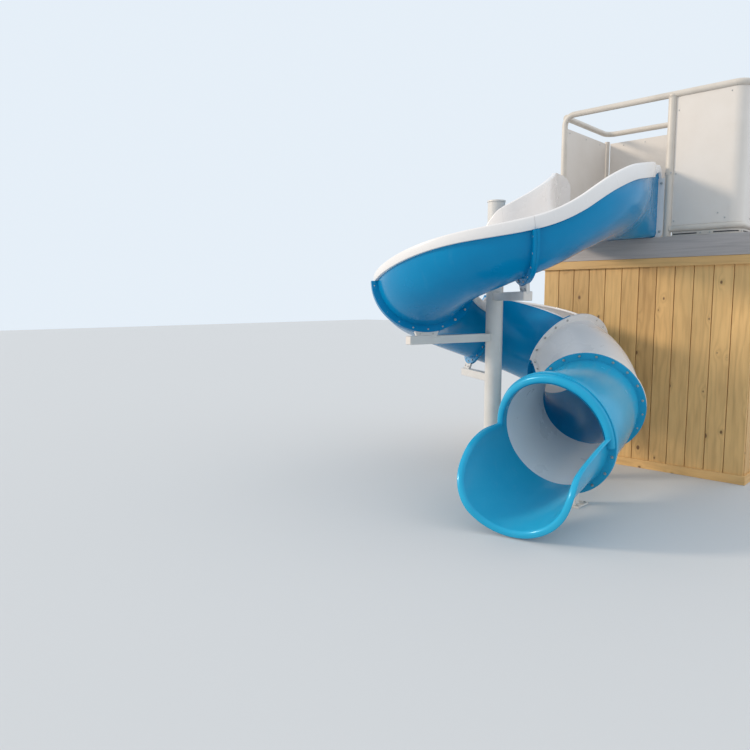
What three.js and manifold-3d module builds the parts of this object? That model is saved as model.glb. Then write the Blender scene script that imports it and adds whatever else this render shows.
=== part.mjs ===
// Water slide tower: timber deck tower with a spiral flume round a steel post.
// Millimetres, +Z up, origin on the ground at the foot of the spiral post.
// +Y runs from the spiral to the tower, the slide leaves towards -Y.
import * as THREE from 'three';
import { mergeVertices } from 'three/addons/utils/BufferGeometryUtils.js';
import Module from 'manifold-3d';

const wasm = await Module();
wasm.setup();

const GAP = 0.15;

// Tower
const TX0 = -178;
const TX1 = 1505;
const TY0 = 1072;
const TY1 = 2052;
const DECK_TOP = 1856;
const DECK_T = 38;
const WALL_T = 25;
const FASCIA_Z0 = 1698;
const CAP_Z0 = 1630;
const SKIRT_H = 68;
const FASCIA_T = 30;
const CAP_T = 26;
const SKIRT_T = 18;

// Guard rail
const RAIL_R = 24;
const RAIL_TOP = 2957;
const GX0 = -40;
const GXM = 855;
const GX1 = 1375;
const GY0 = 1102;
const GY1 = 1945;
const ACCESS_X = 620;
const RAIL_BEND = 85;
const LOW_RAIL_Z = 1920;
const PANEL_T = 5;

// Slide path
const HX = 135;
const HY = -60;
const HELIX_R = 620;
const BORE_R = 322;
const SHELL_T = 12;
const FLANGE_H = 48;
const FLANGE_T = 11;
const LIP_W = 22;
const ENTRY_X = 407;
const ENTRY_Y = 1077.5;
const ENTRY_HALF = 365;
const EXIT_TURN = 345;
const EXIT_Z = 645;
const EXIT_BEND = 15;
const TUBE_LEN = 660;
const MOUTH_Z = 534;
const MOUTH_R = 346;
const MOUTH_RING = 52;
const TROUGH_LEN = 635;
const TROUGH_BEND = -9;
const END_Z = 367;
const END_R = 330;
const FLANGE_TURNS = [52, 130, 222, 290];
const FLANGE_SKEW = -9;

// Post and supports
const POST_R = 64;
const POST_TOP = 2095;
const ARM = 60;

const rad = (d) => d * Math.PI / 180;
const mix = (a, b, t) => a + (b - a) * t;
const clamp01 = (t) => Math.max(0, Math.min(1, t));
const smooth = (t) => {
  const c = clamp01(t);
  return c * c * (3 - 2 * c);
};

const root = new THREE.Group();
root.name = 'root';

const COLOURS = {
  blue: 0x0a78c8,
  white: 0xe8e6e2,
  steel: 0xd2cfca,
  panel: 0xc9c2ba,
  timber: 0xc79a5e,
  composite: 0x8d8884,
  dark: 0x26282b,
};

function add(name, geometry, colour) {
  const material = new THREE.MeshStandardMaterial({ color: COLOURS[colour] });
  const mesh = new THREE.Mesh(geometry, material);
  mesh.name = name;
  root.add(mesh);
  return mesh;
}

function fromArrays(points, triangles) {
  const geometry = new THREE.BufferGeometry();
  geometry.setAttribute('position', new THREE.Float32BufferAttribute(points.flat(), 3));
  geometry.setIndex(triangles.flat());
  return geometry;
}

// Closed shell between two grids of points, outer[i][j] and inner[i][j].
// Stations run along i; with wrap the rows close on themselves.
function shell(outer, inner, wrap) {
  const n = outer.length;
  const m = outer[0].length;
  const points = [];
  for (const grid of [outer, inner]) {
    for (const row of grid) {
      for (const p of row) points.push(p);
    }
  }
  const A = (i, j) => i * m + (j % m);
  const B = (i, j) => n * m + i * m + (j % m);
  const tris = [];
  const quad = (a, b, c, d) => tris.push([a, b, c], [a, c, d]);
  const last = wrap ? m : m - 1;
  for (let i = 0; i < n - 1; i += 1) {
    for (let j = 0; j < last; j += 1) {
      quad(A(i, j), A(i, j + 1), A(i + 1, j + 1), A(i + 1, j));
      quad(B(i, j), B(i + 1, j), B(i + 1, j + 1), B(i, j + 1));
    }
    if (!wrap) {
      quad(A(i, 0), A(i + 1, 0), B(i + 1, 0), B(i, 0));
      quad(A(i + 1, m - 1), A(i, m - 1), B(i, m - 1), B(i + 1, m - 1));
    }
  }
  for (let j = 0; j < last; j += 1) {
    quad(A(0, j + 1), A(0, j), B(0, j), B(0, j + 1));
    quad(A(n - 1, j), A(n - 1, j + 1), B(n - 1, j + 1), B(n - 1, j));
  }
  return orient(fromArrays(points, tris));
}

// Turns the faces round where the enclosed volume comes out negative.
function orient(geometry) {
  const p = geometry.attributes.position;
  const idx = geometry.index.array;
  let volume = 0;
  const a = new THREE.Vector3();
  const b = new THREE.Vector3();
  const c = new THREE.Vector3();
  for (let k = 0; k < idx.length; k += 3) {
    a.fromBufferAttribute(p, idx[k]);
    b.fromBufferAttribute(p, idx[k + 1]);
    c.fromBufferAttribute(p, idx[k + 2]);
    volume += a.dot(b.clone().cross(c));
  }
  if (volume < 0) {
    for (let k = 0; k < idx.length; k += 3) {
      const t = idx[k];
      idx[k] = idx[k + 1];
      idx[k + 1] = t;
    }
  }
  return geometry;
}

function box(x0, x1, y0, y1, z0, z1) {
  const geometry = new THREE.BoxGeometry(x1 - x0, y1 - y0, z1 - z0);
  geometry.translate((x0 + x1) / 2, (y0 + y1) / 2, (z0 + z1) / 2);
  return geometry;
}

function toManifold(geometry) {
  const g = geometry.clone();
  g.deleteAttribute('normal');
  g.deleteAttribute('uv');
  const merged = mergeVertices(g, 1e-4);
  return new wasm.Manifold(new wasm.Mesh({
    numProp: 3,
    vertProperties: new Float32Array(merged.attributes.position.array),
    triVerts: new Uint32Array(merged.index.array),
  }));
}

function fromManifold(solid) {
  const mesh = solid.getMesh();
  const geometry = new THREE.BufferGeometry();
  geometry.setAttribute('position', new THREE.BufferAttribute(new Float32Array(mesh.vertProperties), 3));
  geometry.setIndex(new THREE.BufferAttribute(new Uint32Array(mesh.triVerts), 1));
  return geometry;
}

const union = (...parts) => fromManifold(parts.map(toManifold).reduce((a, b) => a.add(b)));
const cut = (base, ...tools) => fromManifold(tools.map(toManifold).reduce((a, b) => a.subtract(b), toManifold(base)));

// Round bar along a list of points, with a frame that turns as little as possible.
function bar(path, radius, sides = 16) {
  const pts = path.map((p) => new THREE.Vector3(...p));
  const rows = [];
  let normal = null;
  pts.forEach((p, i) => {
    const prev = pts[Math.max(0, i - 1)];
    const next = pts[Math.min(pts.length - 1, i + 1)];
    const t1 = p.clone().sub(prev);
    const t2 = next.clone().sub(p);
    const tangent = (i === 0 ? t2 : i === pts.length - 1 ? t1 : t1.normalize().add(t2.normalize())).normalize();
    if (!normal) {
      normal = Math.abs(tangent.z) < 0.9 ? new THREE.Vector3(0, 0, 1) : new THREE.Vector3(1, 0, 0);
    }
    normal = normal.clone().addScaledVector(tangent, -normal.dot(tangent)).normalize();
    const side = tangent.clone().cross(normal);
    const row = [];
    for (let k = 0; k < sides; k += 1) {
      const a = 2 * Math.PI * k / sides;
      const q = p.clone().addScaledVector(normal, radius * Math.cos(a)).addScaledVector(side, radius * Math.sin(a));
      row.push([q.x, q.y, q.z]);
    }
    rows.push(row);
  });
  const points = rows.flat();
  const tris = [];
  const n = rows.length;
  for (let i = 0; i < n - 1; i += 1) {
    for (let k = 0; k < sides; k += 1) {
      const a = i * sides + k;
      const b = i * sides + (k + 1) % sides;
      tris.push([a, b, b + sides], [a, b + sides, a + sides]);
    }
  }
  for (let k = 1; k < sides - 1; k += 1) {
    tris.push([0, k + 1, k]);
    tris.push([(n - 1) * sides, (n - 1) * sides + k, (n - 1) * sides + k + 1]);
  }
  return orient(fromArrays(points, tris));
}

// Polyline with its corners rounded: corner i gets radius r.
function rounded(corners, r, steps = 6) {
  const v = corners.map((p) => new THREE.Vector3(...p));
  const out = [corners[0]];
  for (let i = 1; i < v.length - 1; i += 1) {
    const d1 = v[i - 1].clone().sub(v[i]).normalize();
    const d2 = v[i + 1].clone().sub(v[i]).normalize();
    const half = Math.acos(THREE.MathUtils.clamp(d1.dot(d2), -1, 1)) / 2;
    const back = r / Math.tan(half);
    const centre = v[i].clone().add(d1.clone().add(d2).normalize().multiplyScalar(r / Math.sin(half)));
    const e1 = v[i].clone().addScaledVector(d1, back).sub(centre);
    const e2 = v[i].clone().addScaledVector(d2, back).sub(centre);
    const sweep = Math.PI - 2 * half;
    const w = e2.clone().addScaledVector(e1, -e2.dot(e1) / e1.lengthSq()).normalize().multiplyScalar(r);
    for (let k = 0; k <= steps; k += 1) {
      const a = sweep * k / steps;
      const q = centre.clone().addScaledVector(e1, Math.cos(a)).addScaledVector(w, Math.sin(a));
      out.push([q.x, q.y, q.z]);
    }
  }
  out.push(corners[corners.length - 1]);
  return out;
}

function cylinder(x, y, z0, z1, r, sides = 32) {
  const geometry = new THREE.CylinderGeometry(r, r, z1 - z0, sides);
  geometry.rotateX(Math.PI / 2);
  geometry.translate(x, y, (z0 + z1) / 2);
  return geometry;
}

// Smooth curve through [distance, value] knots.
function curve(knots) {
  const K = knots;
  const slope = (i) => {
    if (i === 0) return 0;
    if (i === K.length - 1) return (K[i][1] - K[i - 1][1]) / (K[i][0] - K[i - 1][0]);
    return (K[i + 1][1] - K[i - 1][1]) / (K[i + 1][0] - K[i - 1][0]);
  };
  return (x) => {
    let i = 0;
    while (i < K.length - 2 && x > K[i + 1][0]) i += 1;
    const h = K[i + 1][0] - K[i][0];
    const t = (x - K[i][0]) / h;
    const t2 = t * t;
    const t3 = t2 * t;
    return (2 * t3 - 3 * t2 + 1) * K[i][1] + (t3 - 2 * t2 + t) * h * slope(i)
      + (3 * t2 - 2 * t3) * K[i + 1][1] + (t3 - t2) * h * slope(i + 1);
  };
}

// Distances along the path in plan: entry bend, spiral, exit bend.
const ENTRY_RUN = 1190;
const DEG = HELIX_R * Math.PI / 180;
const D = (turn) => ENTRY_RUN + turn * DEG;
const D_EXIT = D(EXIT_TURN);
const D_MOUTH = D_EXIT + TUBE_LEN;
const D_END = D_MOUTH + TROUGH_LEN;

// Height of the bore axis against distance along the path.
const heightAt = curve([
  [0, 2190.3],
  [130, 2190.5],
  [320, 2175],
  [D(0), 2077],
  [D(25), 1985],
  [D(50), 1852],
  [D(90), 1690],
  [D(130), 1500],
  [D(175), 1372],
  [D(222), 1201],
  [D(255), 1071],
  [D(290), 918],
  [D_EXIT, EXIT_Z],
  [D_MOUTH, MOUTH_Z],
  [D_END, END_Z],
]);

// Point on a plan arc of radius R that leaves start at turn angle a.
function arcPoint([x, y], a, R, run) {
  const b = a + run / R;
  return [x + R * (Math.cos(b) - Math.cos(a)), y - R * (Math.sin(b) - Math.sin(a))];
}

// Plan point at a distance d along the path: bend from the deck, spiral, straight exit.
function planAt(d) {
  if (d <= ENTRY_RUN) {
    const t = d / ENTRY_RUN;
    return [mix(ENTRY_X, HX + HELIX_R, smooth(t)), mix(ENTRY_Y, HY, t)];
  }
  const turn = (d - ENTRY_RUN) / DEG;
  if (turn <= EXIT_TURN) {
    return [HX + HELIX_R * Math.cos(rad(turn)), HY - HELIX_R * Math.sin(rad(turn))];
  }
  const a = rad(EXIT_TURN);
  const start = [HX + HELIX_R * Math.cos(a), HY - HELIX_R * Math.sin(a)];
  const run = d - D_EXIT;
  if (run <= TUBE_LEN) return arcPoint(start, a, TUBE_LEN / rad(EXIT_BEND), run);
  const mouth = arcPoint(start, a, TUBE_LEN / rad(EXIT_BEND), TUBE_LEN);
  return arcPoint(mouth, a + rad(EXIT_BEND), TROUGH_LEN / rad(TROUGH_BEND), run - TUBE_LEN);
}

// How far a section stands plumb instead of square to the slope, and how far it is turned in plan.
const near = (d, centre, width) => smooth(1 - Math.abs(d - centre) / width);
const plumbAt = (d) => Math.max(1 - smooth(d / 500), near(d, D(FLANGE_TURNS[0]), 320));
const skewAt = (d) => rad(FLANGE_SKEW) * near(d, D(FLANGE_TURNS[0]), 320);

// Frame at d: centre, level outward direction (left of travel), upward normal of the section.
function frameAt(d) {
  const e = 0.5;
  const [x, y] = planAt(d);
  const [xa, ya] = planAt(Math.max(0, d - e));
  const [xb, yb] = planAt(d + e);
  const za = heightAt(Math.max(0, d - e));
  const zb = heightAt(d + e);
  const len = Math.hypot(xb - xa, yb - ya);
  const hx = (xb - xa) / len;
  const hy = (yb - ya) / len;
  const s = (zb - za) / len * (1 - plumbAt(d));
  const k = Math.hypot(1, s);
  const cos = Math.cos(skewAt(d));
  const sin = Math.sin(skewAt(d));
  return {
    c: [x, y, heightAt(d)],
    out: [-hy * cos + hx * sin, hx * cos + hy * sin, 0],
    up: [-hx * s / k, -hy * s / k, 1 / k],
    along: [hx / k, hy / k, s / k],
  };
}

function place(f, u, w) {
  return [0, 1, 2].map((k) => f.c[k] + f.out[k] * u + f.up[k] * w);
}

// Half of an open section from the wall top at height zt down to the bottom centre.
// n = 2 gives a round bottom, larger n a boxy one.
function halfWall(w, r, n, zt, count) {
  const dense = [];
  if (zt > 0) dense.push([w, zt]);
  const a0 = zt < 0 ? Math.asin(Math.min(1, -zt / r)) : 0;
  for (let k = 0; k <= 160; k += 1) {
    const a = mix(a0, Math.PI / 2, k / 160);
    dense.push([w * Math.cos(a) ** (2 / n), -r * Math.sin(a) ** (2 / n)]);
  }
  dense[dense.length - 1] = [0, -r];
  const len = [0];
  for (let k = 1; k < dense.length; k += 1) {
    len.push(len[k - 1] + Math.hypot(dense[k][0] - dense[k - 1][0], dense[k][1] - dense[k - 1][1]));
  }
  const out = [];
  let k = 0;
  for (let i = 0; i <= count; i += 1) {
    const want = len[len.length - 1] * i / count;
    while (k < len.length - 2 && len[k + 1] < want) k += 1;
    const t = clamp01((want - len[k]) / (len[k + 1] - len[k]));
    out.push([mix(dense[k][0], dense[k + 1][0], t), mix(dense[k][1], dense[k + 1][1], t)]);
  }
  return out;
}

// Both outlines of an open flume with a rolled lip on each rim.
function flumeSection(d, width, n, grow, growBottom = grow) {
  const side = (h) => {
    const low = h - lipHeight(d);
    const edge = width + SHELL_T + LIP_W;
    const o = halfWall(width + SHELL_T + grow, BORE_R + SHELL_T + growBottom, n, low - 4, 9);
    const i = halfWall(width, BORE_R, n, low - 4, 9);
    return {
      o: [[edge - 10, h], [edge, h - 12], [edge, low], ...o],
      i: [[width + 5, h], [width, h - 9], [width, low], ...i],
    };
  };
  const a = side(rimOut(d));
  const b = side(rimIn(d));
  const flip = (list) => list.slice(0, -1).reverse().map(([u, w]) => [-u, w]);
  return { o: [...a.o, ...flip(b.o)], i: [...a.i, ...flip(b.i)] };
}

// Arc section from angle a0 to a1 (degrees, 0 outward, -90 at the bottom).
function arcSection(a0, a1, count, grow, radius = BORE_R) {
  const o = [];
  const i = [];
  for (let k = 0; k <= count; k += 1) {
    const a = rad(mix(a0, a1, k / count));
    o.push([(radius + SHELL_T + grow) * Math.cos(a), (radius + SHELL_T + grow) * Math.sin(a)]);
    i.push([radius * Math.cos(a), radius * Math.sin(a)]);
  }
  return { o, i };
}

// Stations of a piece between d0 and d1 with end flanges thicker by FLANGE_H.
function stations(d0, d1, count, flangeStart = true, flangeEnd = true) {
  const list = [];
  const a = d0 + GAP;
  const b = d1 - GAP;
  if (flangeStart) {
    list.push([a, FLANGE_H], [a + FLANGE_T, FLANGE_H], [a + FLANGE_T + 2, 0]);
  } else {
    list.push([a, 0]);
  }
  const s = flangeStart ? a + FLANGE_T + 2 : a;
  const e = flangeEnd ? b - FLANGE_T - 2 : b;
  for (let k = 1; k < count; k += 1) list.push([mix(s, e, k / count), 0]);
  if (flangeEnd) {
    list.push([e, 0], [b - FLANGE_T, FLANGE_H], [b, FLANGE_H]);
  } else {
    list.push([b, 0]);
  }
  return list;
}

function sweep(list, section, wrap) {
  const outer = [];
  const inner = [];
  for (const [d, grow] of list) {
    const f = frameAt(d);
    const s = section(d, grow);
    outer.push(s.o.map(([u, w]) => place(f, u, w)));
    inner.push(s.i.map(([u, w]) => place(f, u, w)));
  }
  return shell(outer, inner, wrap);
}

// Rim heights above the bore axis on the outward and inward walls.
const rimOut = curve([
  [0, 215],
  [500, 205],
  [D(0), 146],
  [D(16), 104],
  [D(32), 36],
  [D(50), 20],
  [D(90), 42],
  [D(130), 66],
  [D(222), 80],
]);
const rimIn = curve([
  [0, 212],
  [300, 205],
  [D(0), 95],
  [D(32), 122],
  [D(60), 165],
  [D(110), 110],
  [D(180), 62],
  [D(222), 90],
]);
// Height of the rolled lip on the rims.
const lipHeight = curve([
  [0, 50],
  [150, 58],
  [400, 84],
  [700, 98],
  [D(0), 96],
  [D(25), 88],
  [D(52), 80],
  [D(80), 66],
  [D(130), 62],
  [D(222), 62],
]);
const entryHalf = (d) => mix(ENTRY_HALF, BORE_R, smooth(d / 760));
const entryPower = (d) => mix(9, 2, smooth(d / 820));

const entryFlume = sweep(
  stations(0, D(FLANGE_TURNS[0]), 15),
  (d, g) => flumeSection(d, entryHalf(d), entryPower(d), g, d < 50 ? 0 : g),
  false,
);
add('entry_flume', entryFlume, 'blue');

add('upper_bend_flume', sweep(
  stations(D(FLANGE_TURNS[0]), D(FLANGE_TURNS[1]), 8),
  (d, g) => flumeSection(d, BORE_R, 2, g),
  false,
), 'blue');

add('rear_bend_flume', sweep(
  stations(D(FLANGE_TURNS[1]), D(FLANGE_TURNS[2]), 9),
  (d, g) => flumeSection(d, BORE_R, 2, g),
  false,
), 'blue');

const highTop = (d) => mix(36, 72, clamp01((d - D(FLANGE_TURNS[2])) / (D(FLANGE_TURNS[3]) - D(FLANGE_TURNS[2]))));
add('rear_high_flume', sweep(
  stations(D(FLANGE_TURNS[2]), D(FLANGE_TURNS[3]), 7),
  (d, g) => arcSection(highTop(d), -180 - highTop(d), 26, g),
  false,
), 'blue');

// Closed bend in two halves, the cover on the trough, joined by side flanges.
const SEAM_W = 34;
const SEAM_T = 9;
function halfTube(upper) {
  const sgn = upper ? 1 : -1;
  return (d, grow) => {
    const o = [];
    const i = [];
    const R = BORE_R + SHELL_T + grow;
    const edge = BORE_R + SHELL_T + Math.max(SEAM_W, grow);
    const lift = GAP * sgn;
    const a0 = Math.asin((SEAM_T + 3) / R);
    o.push([edge, lift], [edge + 0.4, (SEAM_T) * sgn]);
    i.push([BORE_R, lift], [BORE_R, SEAM_T * sgn]);
    const count = 18;
    for (let k = 0; k <= count; k += 1) {
      const a = mix(a0, Math.PI - a0, k / count);
      o.push([R * Math.cos(a), R * Math.sin(a) * sgn]);
      i.push([BORE_R * Math.cos(a), BORE_R * Math.sin(a) * sgn]);
    }
    o.push([-edge - 0.4, SEAM_T * sgn], [-edge, lift]);
    i.push([-BORE_R, SEAM_T * sgn], [-BORE_R, lift]);
    return { o, i };
  };
}
add('closed_bend_cover', sweep(stations(D(FLANGE_TURNS[3]), D_EXIT, 6), halfTube(true), false), 'white');
add('closed_bend_trough', sweep(stations(D(FLANGE_TURNS[3]), D_EXIT, 6), halfTube(false), false), 'blue');

const ring = (grow, radius = BORE_R) => {
  const s = arcSection(0, 360, 36, grow, radius);
  return { o: s.o.slice(0, -1), i: s.i.slice(0, -1) };
};
const exitR = (d) => mix(BORE_R, MOUTH_R, smooth((d - D_EXIT) / TUBE_LEN));
const EXIT_STATIONS = stations(D_EXIT, D_MOUTH, 5);
add('exit_tube', sweep(EXIT_STATIONS, (d, g) => ring(g, exitR(d)), true), 'blue');

// Exit trough: mouth ring joined to a lower half with a rolled lip all round its rim.
const RING_LEN = 46;
const mouthRing = sweep(
  [
    [D_MOUTH + GAP, MOUTH_RING],
    [D_MOUTH + RING_LEN - 12, MOUTH_RING],
    [D_MOUTH + RING_LEN, MOUTH_RING - 12],
  ],
  (d, g) => ring(g - SHELL_T, MOUTH_R),
  true,
);
const troughList = [];
for (let k = 0; k <= 10; k += 1) troughList.push([mix(D_MOUTH + 14, D_END - 30, k / 10), 0]);
troughList.push([D_END - 28, 1], [D_END - 8, 1], [D_END, 0.6]);
const LIP = 30;
const rimRight = curve([[0, 6], [0.4, 4.5], [0.72, 3.5], [0.88, -4], [1, -17]]);
const rimLeft = curve([[0, 6], [0.35, 11], [0.6, 8], [0.82, -6], [1, -30]]);
const trough = sweep(
  troughList,
  (d, edge) => {
    const t = clamp01((d - D_MOUTH - 14) / (TROUGH_LEN - 14));
    const R = mix(MOUTH_R, END_R, t);
    const right = rimRight(t);
    const left = -180 - rimLeft(t);
    const o = [];
    const i = [];
    const at = (a, outer, inner) => {
      o.push([outer * Math.cos(rad(a)), outer * Math.sin(rad(a))]);
      i.push([inner * Math.cos(rad(a)), inner * Math.sin(rad(a))]);
    };
    const edgeR = R + SHELL_T + LIP;
    at(right, edgeR - 8, R + 6);
    at(right - 1.6, edgeR, R);
    at(right - 5.5, edgeR, R);
    const count = 22;
    for (let k = 0; k <= count; k += 1) {
      at(mix(right - 6, left + 6, k / count), R + SHELL_T + LIP * edge, R);
    }
    at(left + 5.5, edgeR, R);
    at(left + 1.6, edgeR, R);
    at(left, edgeR - 8, R + 6);
    return { o, i };
  },
  false,
);
add('exit_trough', union(mouthRing, trough), 'blue');

// Post
add('center_post', cylinder(0, 0, 16 + GAP, POST_TOP, POST_R, 36), 'steel');
add('post_cap', cylinder(0, 0, POST_TOP + GAP, POST_TOP + 14, POST_R + 5, 36), 'steel');
add('post_base_plate', box(-150, 150, -150, 150, 0, 16), 'steel');

// Solid plug along the path, used to cut supports to the shape of the shells.
function plug(distances, radius, sides = 36) {
  const count = distances.length - 1;
  const path = distances.map((d) => {
    const f = frameAt(d);
    const row = [];
    for (let j = 0; j < sides; j += 1) {
      const a = 2 * Math.PI * j / sides;
      row.push(place(f, radius(d) * Math.cos(a), radius(d) * Math.sin(a)));
    }
    return row;
  });
  const tris = [];
  for (let i = 0; i < count; i += 1) {
    for (let j = 0; j < sides; j += 1) {
      const p = i * sides + j;
      const q = i * sides + (j + 1) % sides;
      tris.push([p, q, q + sides], [p, q + sides, p + sides]);
    }
  }
  for (let j = 1; j < sides - 1; j += 1) {
    tris.push([0, j + 1, j]);
    tris.push([count * sides, count * sides + j, count * sides + j + 1]);
  }
  return orient(fromArrays(path.flat(), tris));
}

// Square arm from the post to below a flange, and a saddle plate between arm and flange.
const SADDLE_T = 18;
const FLANGE_R = BORE_R + SHELL_T + FLANGE_H;
function supportArm(turn, name, drop, over) {
  const d = D(turn);
  const f = frameAt(d);
  const [x, y, top] = place(f, 0, -FLANGE_R - drop);
  const angle = Math.atan2(y, x);
  const reach = Math.hypot(x, y);
  const beam = (g) => {
    const b = box(POST_R - 8, reach + over + g, -ARM / 2 - g, ARM / 2 + g, top - ARM - g, top + g);
    b.rotateZ(angle);
    return b;
  };
  const post = cylinder(0, 0, 0, 2500, POST_R + 2 * GAP, 36);
  add(`support_arm_${name}`, cut(beam(0), post), 'steel');
  const saddle = sweep(
    [[d - SADDLE_T / 2, 0], [d + SADDLE_T / 2, 0]],
    () => {
      const o = [];
      const i = [];
      for (let k = 0; k <= 8; k += 1) {
        const a = rad(mix(-103, -77, k / 8));
        i.push([(FLANGE_R + 2 * GAP) * Math.cos(a), (FLANGE_R + 2 * GAP) * Math.sin(a)]);
        o.push([mix(-70, 70, k / 8), -FLANGE_R - drop - 18]);
      }
      return { o, i };
    },
    false,
  );
  add(`saddle_${name}`, cut(saddle, beam(2 * GAP)), 'steel');
}
supportArm(FLANGE_TURNS[0], 'upper', 40, 70);
supportArm(FLANGE_TURNS[1], 'left', 22, 160);
supportArm(FLANGE_TURNS[2], 'rear', 40, 60);
supportArm(FLANGE_TURNS[3], 'lower', 40, 60);

// Tower
const front = box(TX0, TX1, TY0, TY0 + WALL_T, 0, DECK_TOP - DECK_T - GAP);
add('wall_front', front, 'timber');
add('wall_back', box(TX0, TX1, TY1 - WALL_T, TY1, 0, DECK_TOP - DECK_T - GAP), 'timber');
add('wall_left', box(TX0, TX0 + WALL_T, TY0 + WALL_T + GAP, TY1 - WALL_T - GAP, 0, DECK_TOP - DECK_T - GAP), 'timber');
add('wall_right', box(TX1 - WALL_T, TX1, TY0 + WALL_T + GAP, TY1 - WALL_T - GAP, 0, DECK_TOP - DECK_T - GAP), 'timber');
add('deck_floor', box(TX0, TX1, TY0, TY1, DECK_TOP - DECK_T, DECK_TOP), 'composite');

function band(prefix, z0, z1, t, colour) {
  const g = 2 * GAP;
  add(`${prefix}_front`, box(TX0 - t, TX1 + t, TY0 - t, TY0 - g, z0, z1), colour);
  add(`${prefix}_back`, box(TX0 - t, TX1 + t, TY1 + g, TY1 + t, z0, z1), colour);
  add(`${prefix}_left`, box(TX0 - t, TX0 - g, TY0, TY1, z0, z1), colour);
  add(`${prefix}_right`, box(TX1 + g, TX1 + t, TY0, TY1, z0, z1), colour);
}
band('fascia', FASCIA_Z0 + GAP, DECK_TOP, FASCIA_T, 'composite');
band('cap_board', CAP_Z0, FASCIA_Z0 - GAP, CAP_T, 'timber');
band('skirting', 0, SKIRT_H, SKIRT_T, 'timber');

// Guard rails
const railZ = RAIL_TOP - RAIL_R;
const foot = DECK_TOP + GAP;
const topRail = rounded([
  [GX0, GY0, foot],
  [GX0, GY0, railZ],
  [GX1, GY0, railZ],
  [GX1, GY1, railZ],
  [GX1, GY1, foot],
], RAIL_BEND);
const backRail = rounded([
  [GX0, GY0, railZ - 12],
  [GX0, GY1, railZ - 12],
  [ACCESS_X, GY1, railZ - 12],
  [ACCESS_X, GY1, foot],
], RAIL_BEND);
const plate = (x, y) => cylinder(x, y, foot, foot + 8, 33, 24);
add('guard_rail_front', union(
  bar(topRail, RAIL_R),
  bar([[GXM, GY0, foot], [GXM, GY0, railZ]], RAIL_R),
  bar(rounded([[GXM, GY0, LOW_RAIL_Z], [GX1, GY0, LOW_RAIL_Z], [GX1, GY1, LOW_RAIL_Z]], RAIL_BEND), RAIL_R),
  plate(GX0, GY0),
  plate(GXM, GY0),
  plate(GX1, GY1),
), 'steel');
add('guard_rail_back', cut(union(
  bar(backRail, RAIL_R),
  bar([[GX0, GY1, foot], [GX0, GY1, railZ - 12 - RAIL_BEND]], RAIL_R),
  bar([[GX0, GY0, LOW_RAIL_Z], [GX0, GY1, LOW_RAIL_Z], [ACCESS_X, GY1, LOW_RAIL_Z]], RAIL_R),
  plate(GX0, GY1),
  plate(ACCESS_X, GY1),
), bar(topRail, RAIL_R + 2 * GAP), cylinder(GX0, GY0, foot - 1, foot + 9, 48 + 2 * GAP, 24)), 'steel');

// Sheet panels on the guard, held inboard of the rails and standing on a kick track.
const wrap = rounded([
  [GXM + RAIL_R + 8, GY0, 0],
  [GX1, GY0, 0],
  [GX1, GY1 - RAIL_R - 8, 0],
], RAIL_BEND);
function sheet(path, z0, z1, t) {
  const pts = path.map((p) => new THREE.Vector2(p[0], p[1]));
  const outer = [];
  const inner = [];
  const section = (p, n) => [[z0, t / 2], [z1, t / 2]].map(([z, u]) => [p.x + n.x * u, p.y + n.y * u, z]);
  pts.forEach((p, i) => {
    const a = pts[Math.max(0, i - 1)];
    const b = pts[Math.min(pts.length - 1, i + 1)];
    const h = b.clone().sub(a).normalize();
    const n = new THREE.Vector2(-h.y, h.x);
    outer.push(section(p, n));
    inner.push(section(p, n.clone().negate()));
  });
  return shell(outer, inner, false);
}
// Tool that rounds a panel corner so that it follows the inside of a rail bend.
function cornerTool(x, y, z, dir, along) {
  const r = RAIL_BEND - RAIL_R - 3;
  const side = RAIL_BEND + 60;
  const block = along === 'y'
    ? box(x - 30, x + 30, Math.min(y, y + dir * side), Math.max(y, y + dir * side), z, z + side)
    : box(Math.min(x, x + dir * side), Math.max(x, x + dir * side), y - 30, y + 30, z, z + side);
  const round = new THREE.CylinderGeometry(r, r, 80, 40);
  if (along === 'y') round.rotateZ(Math.PI / 2);
  round.translate(x, y, z);
  return cut(block, round);
}
const topZ = railZ - RAIL_R - 2 * GAP;
const lowZ = LOW_RAIL_Z + RAIL_R + 2 * GAP;
const backTop = railZ - 12;
add('panel_front_right', cut(
  sheet(wrap, lowZ, topZ, PANEL_T),
  cornerTool(GX1, GY1 - RAIL_BEND, railZ - RAIL_BEND, 1, 'y'),
), 'panel');
add('panel_left', sheet(
  [[GX0, GY0 + RAIL_R + 8, 0], [GX0, GY1 - RAIL_R - 8, 0]],
  lowZ,
  backTop - RAIL_R - 60,
  PANEL_T,
), 'panel');
add('panel_back', cut(
  sheet([[GX0 + RAIL_R + 8, GY1, 0], [ACCESS_X - RAIL_R - 8, GY1, 0]], lowZ, backTop - RAIL_R - 60, PANEL_T),
  cornerTool(ACCESS_X - RAIL_BEND, GY1, backTop - RAIL_BEND, 1, 'x'),
), 'panel');
add('kick_track_front', sheet(rounded([
  [GXM + RAIL_R + 16, GY0, 0],
  [GX1, GY0, 0],
  [GX1, GY1 - 44, 0],
], RAIL_BEND), foot, LOW_RAIL_Z - RAIL_R - 2 * GAP, 12), 'steel');

// Leg and foot below the exit tube.
function exitLeg(d) {
  const [x, y, z] = frameAt(d).c;
  const leg = box(x - 30, x + 30, y - 30, y + 30, 10 + 2 * GAP, z - exitR(d) * 0.9);
  const tube = plug(EXIT_STATIONS.map((q) => q[0]), (q) => exitR(q) + SHELL_T + 2 * GAP);
  add('exit_leg', cut(leg, tube), 'steel');
  add('exit_leg_foot', box(x - 75, x + 75, y - 75, y + 75, 0, 10), 'steel');
}
exitLeg(D_EXIT + 330);

export default root;
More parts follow.
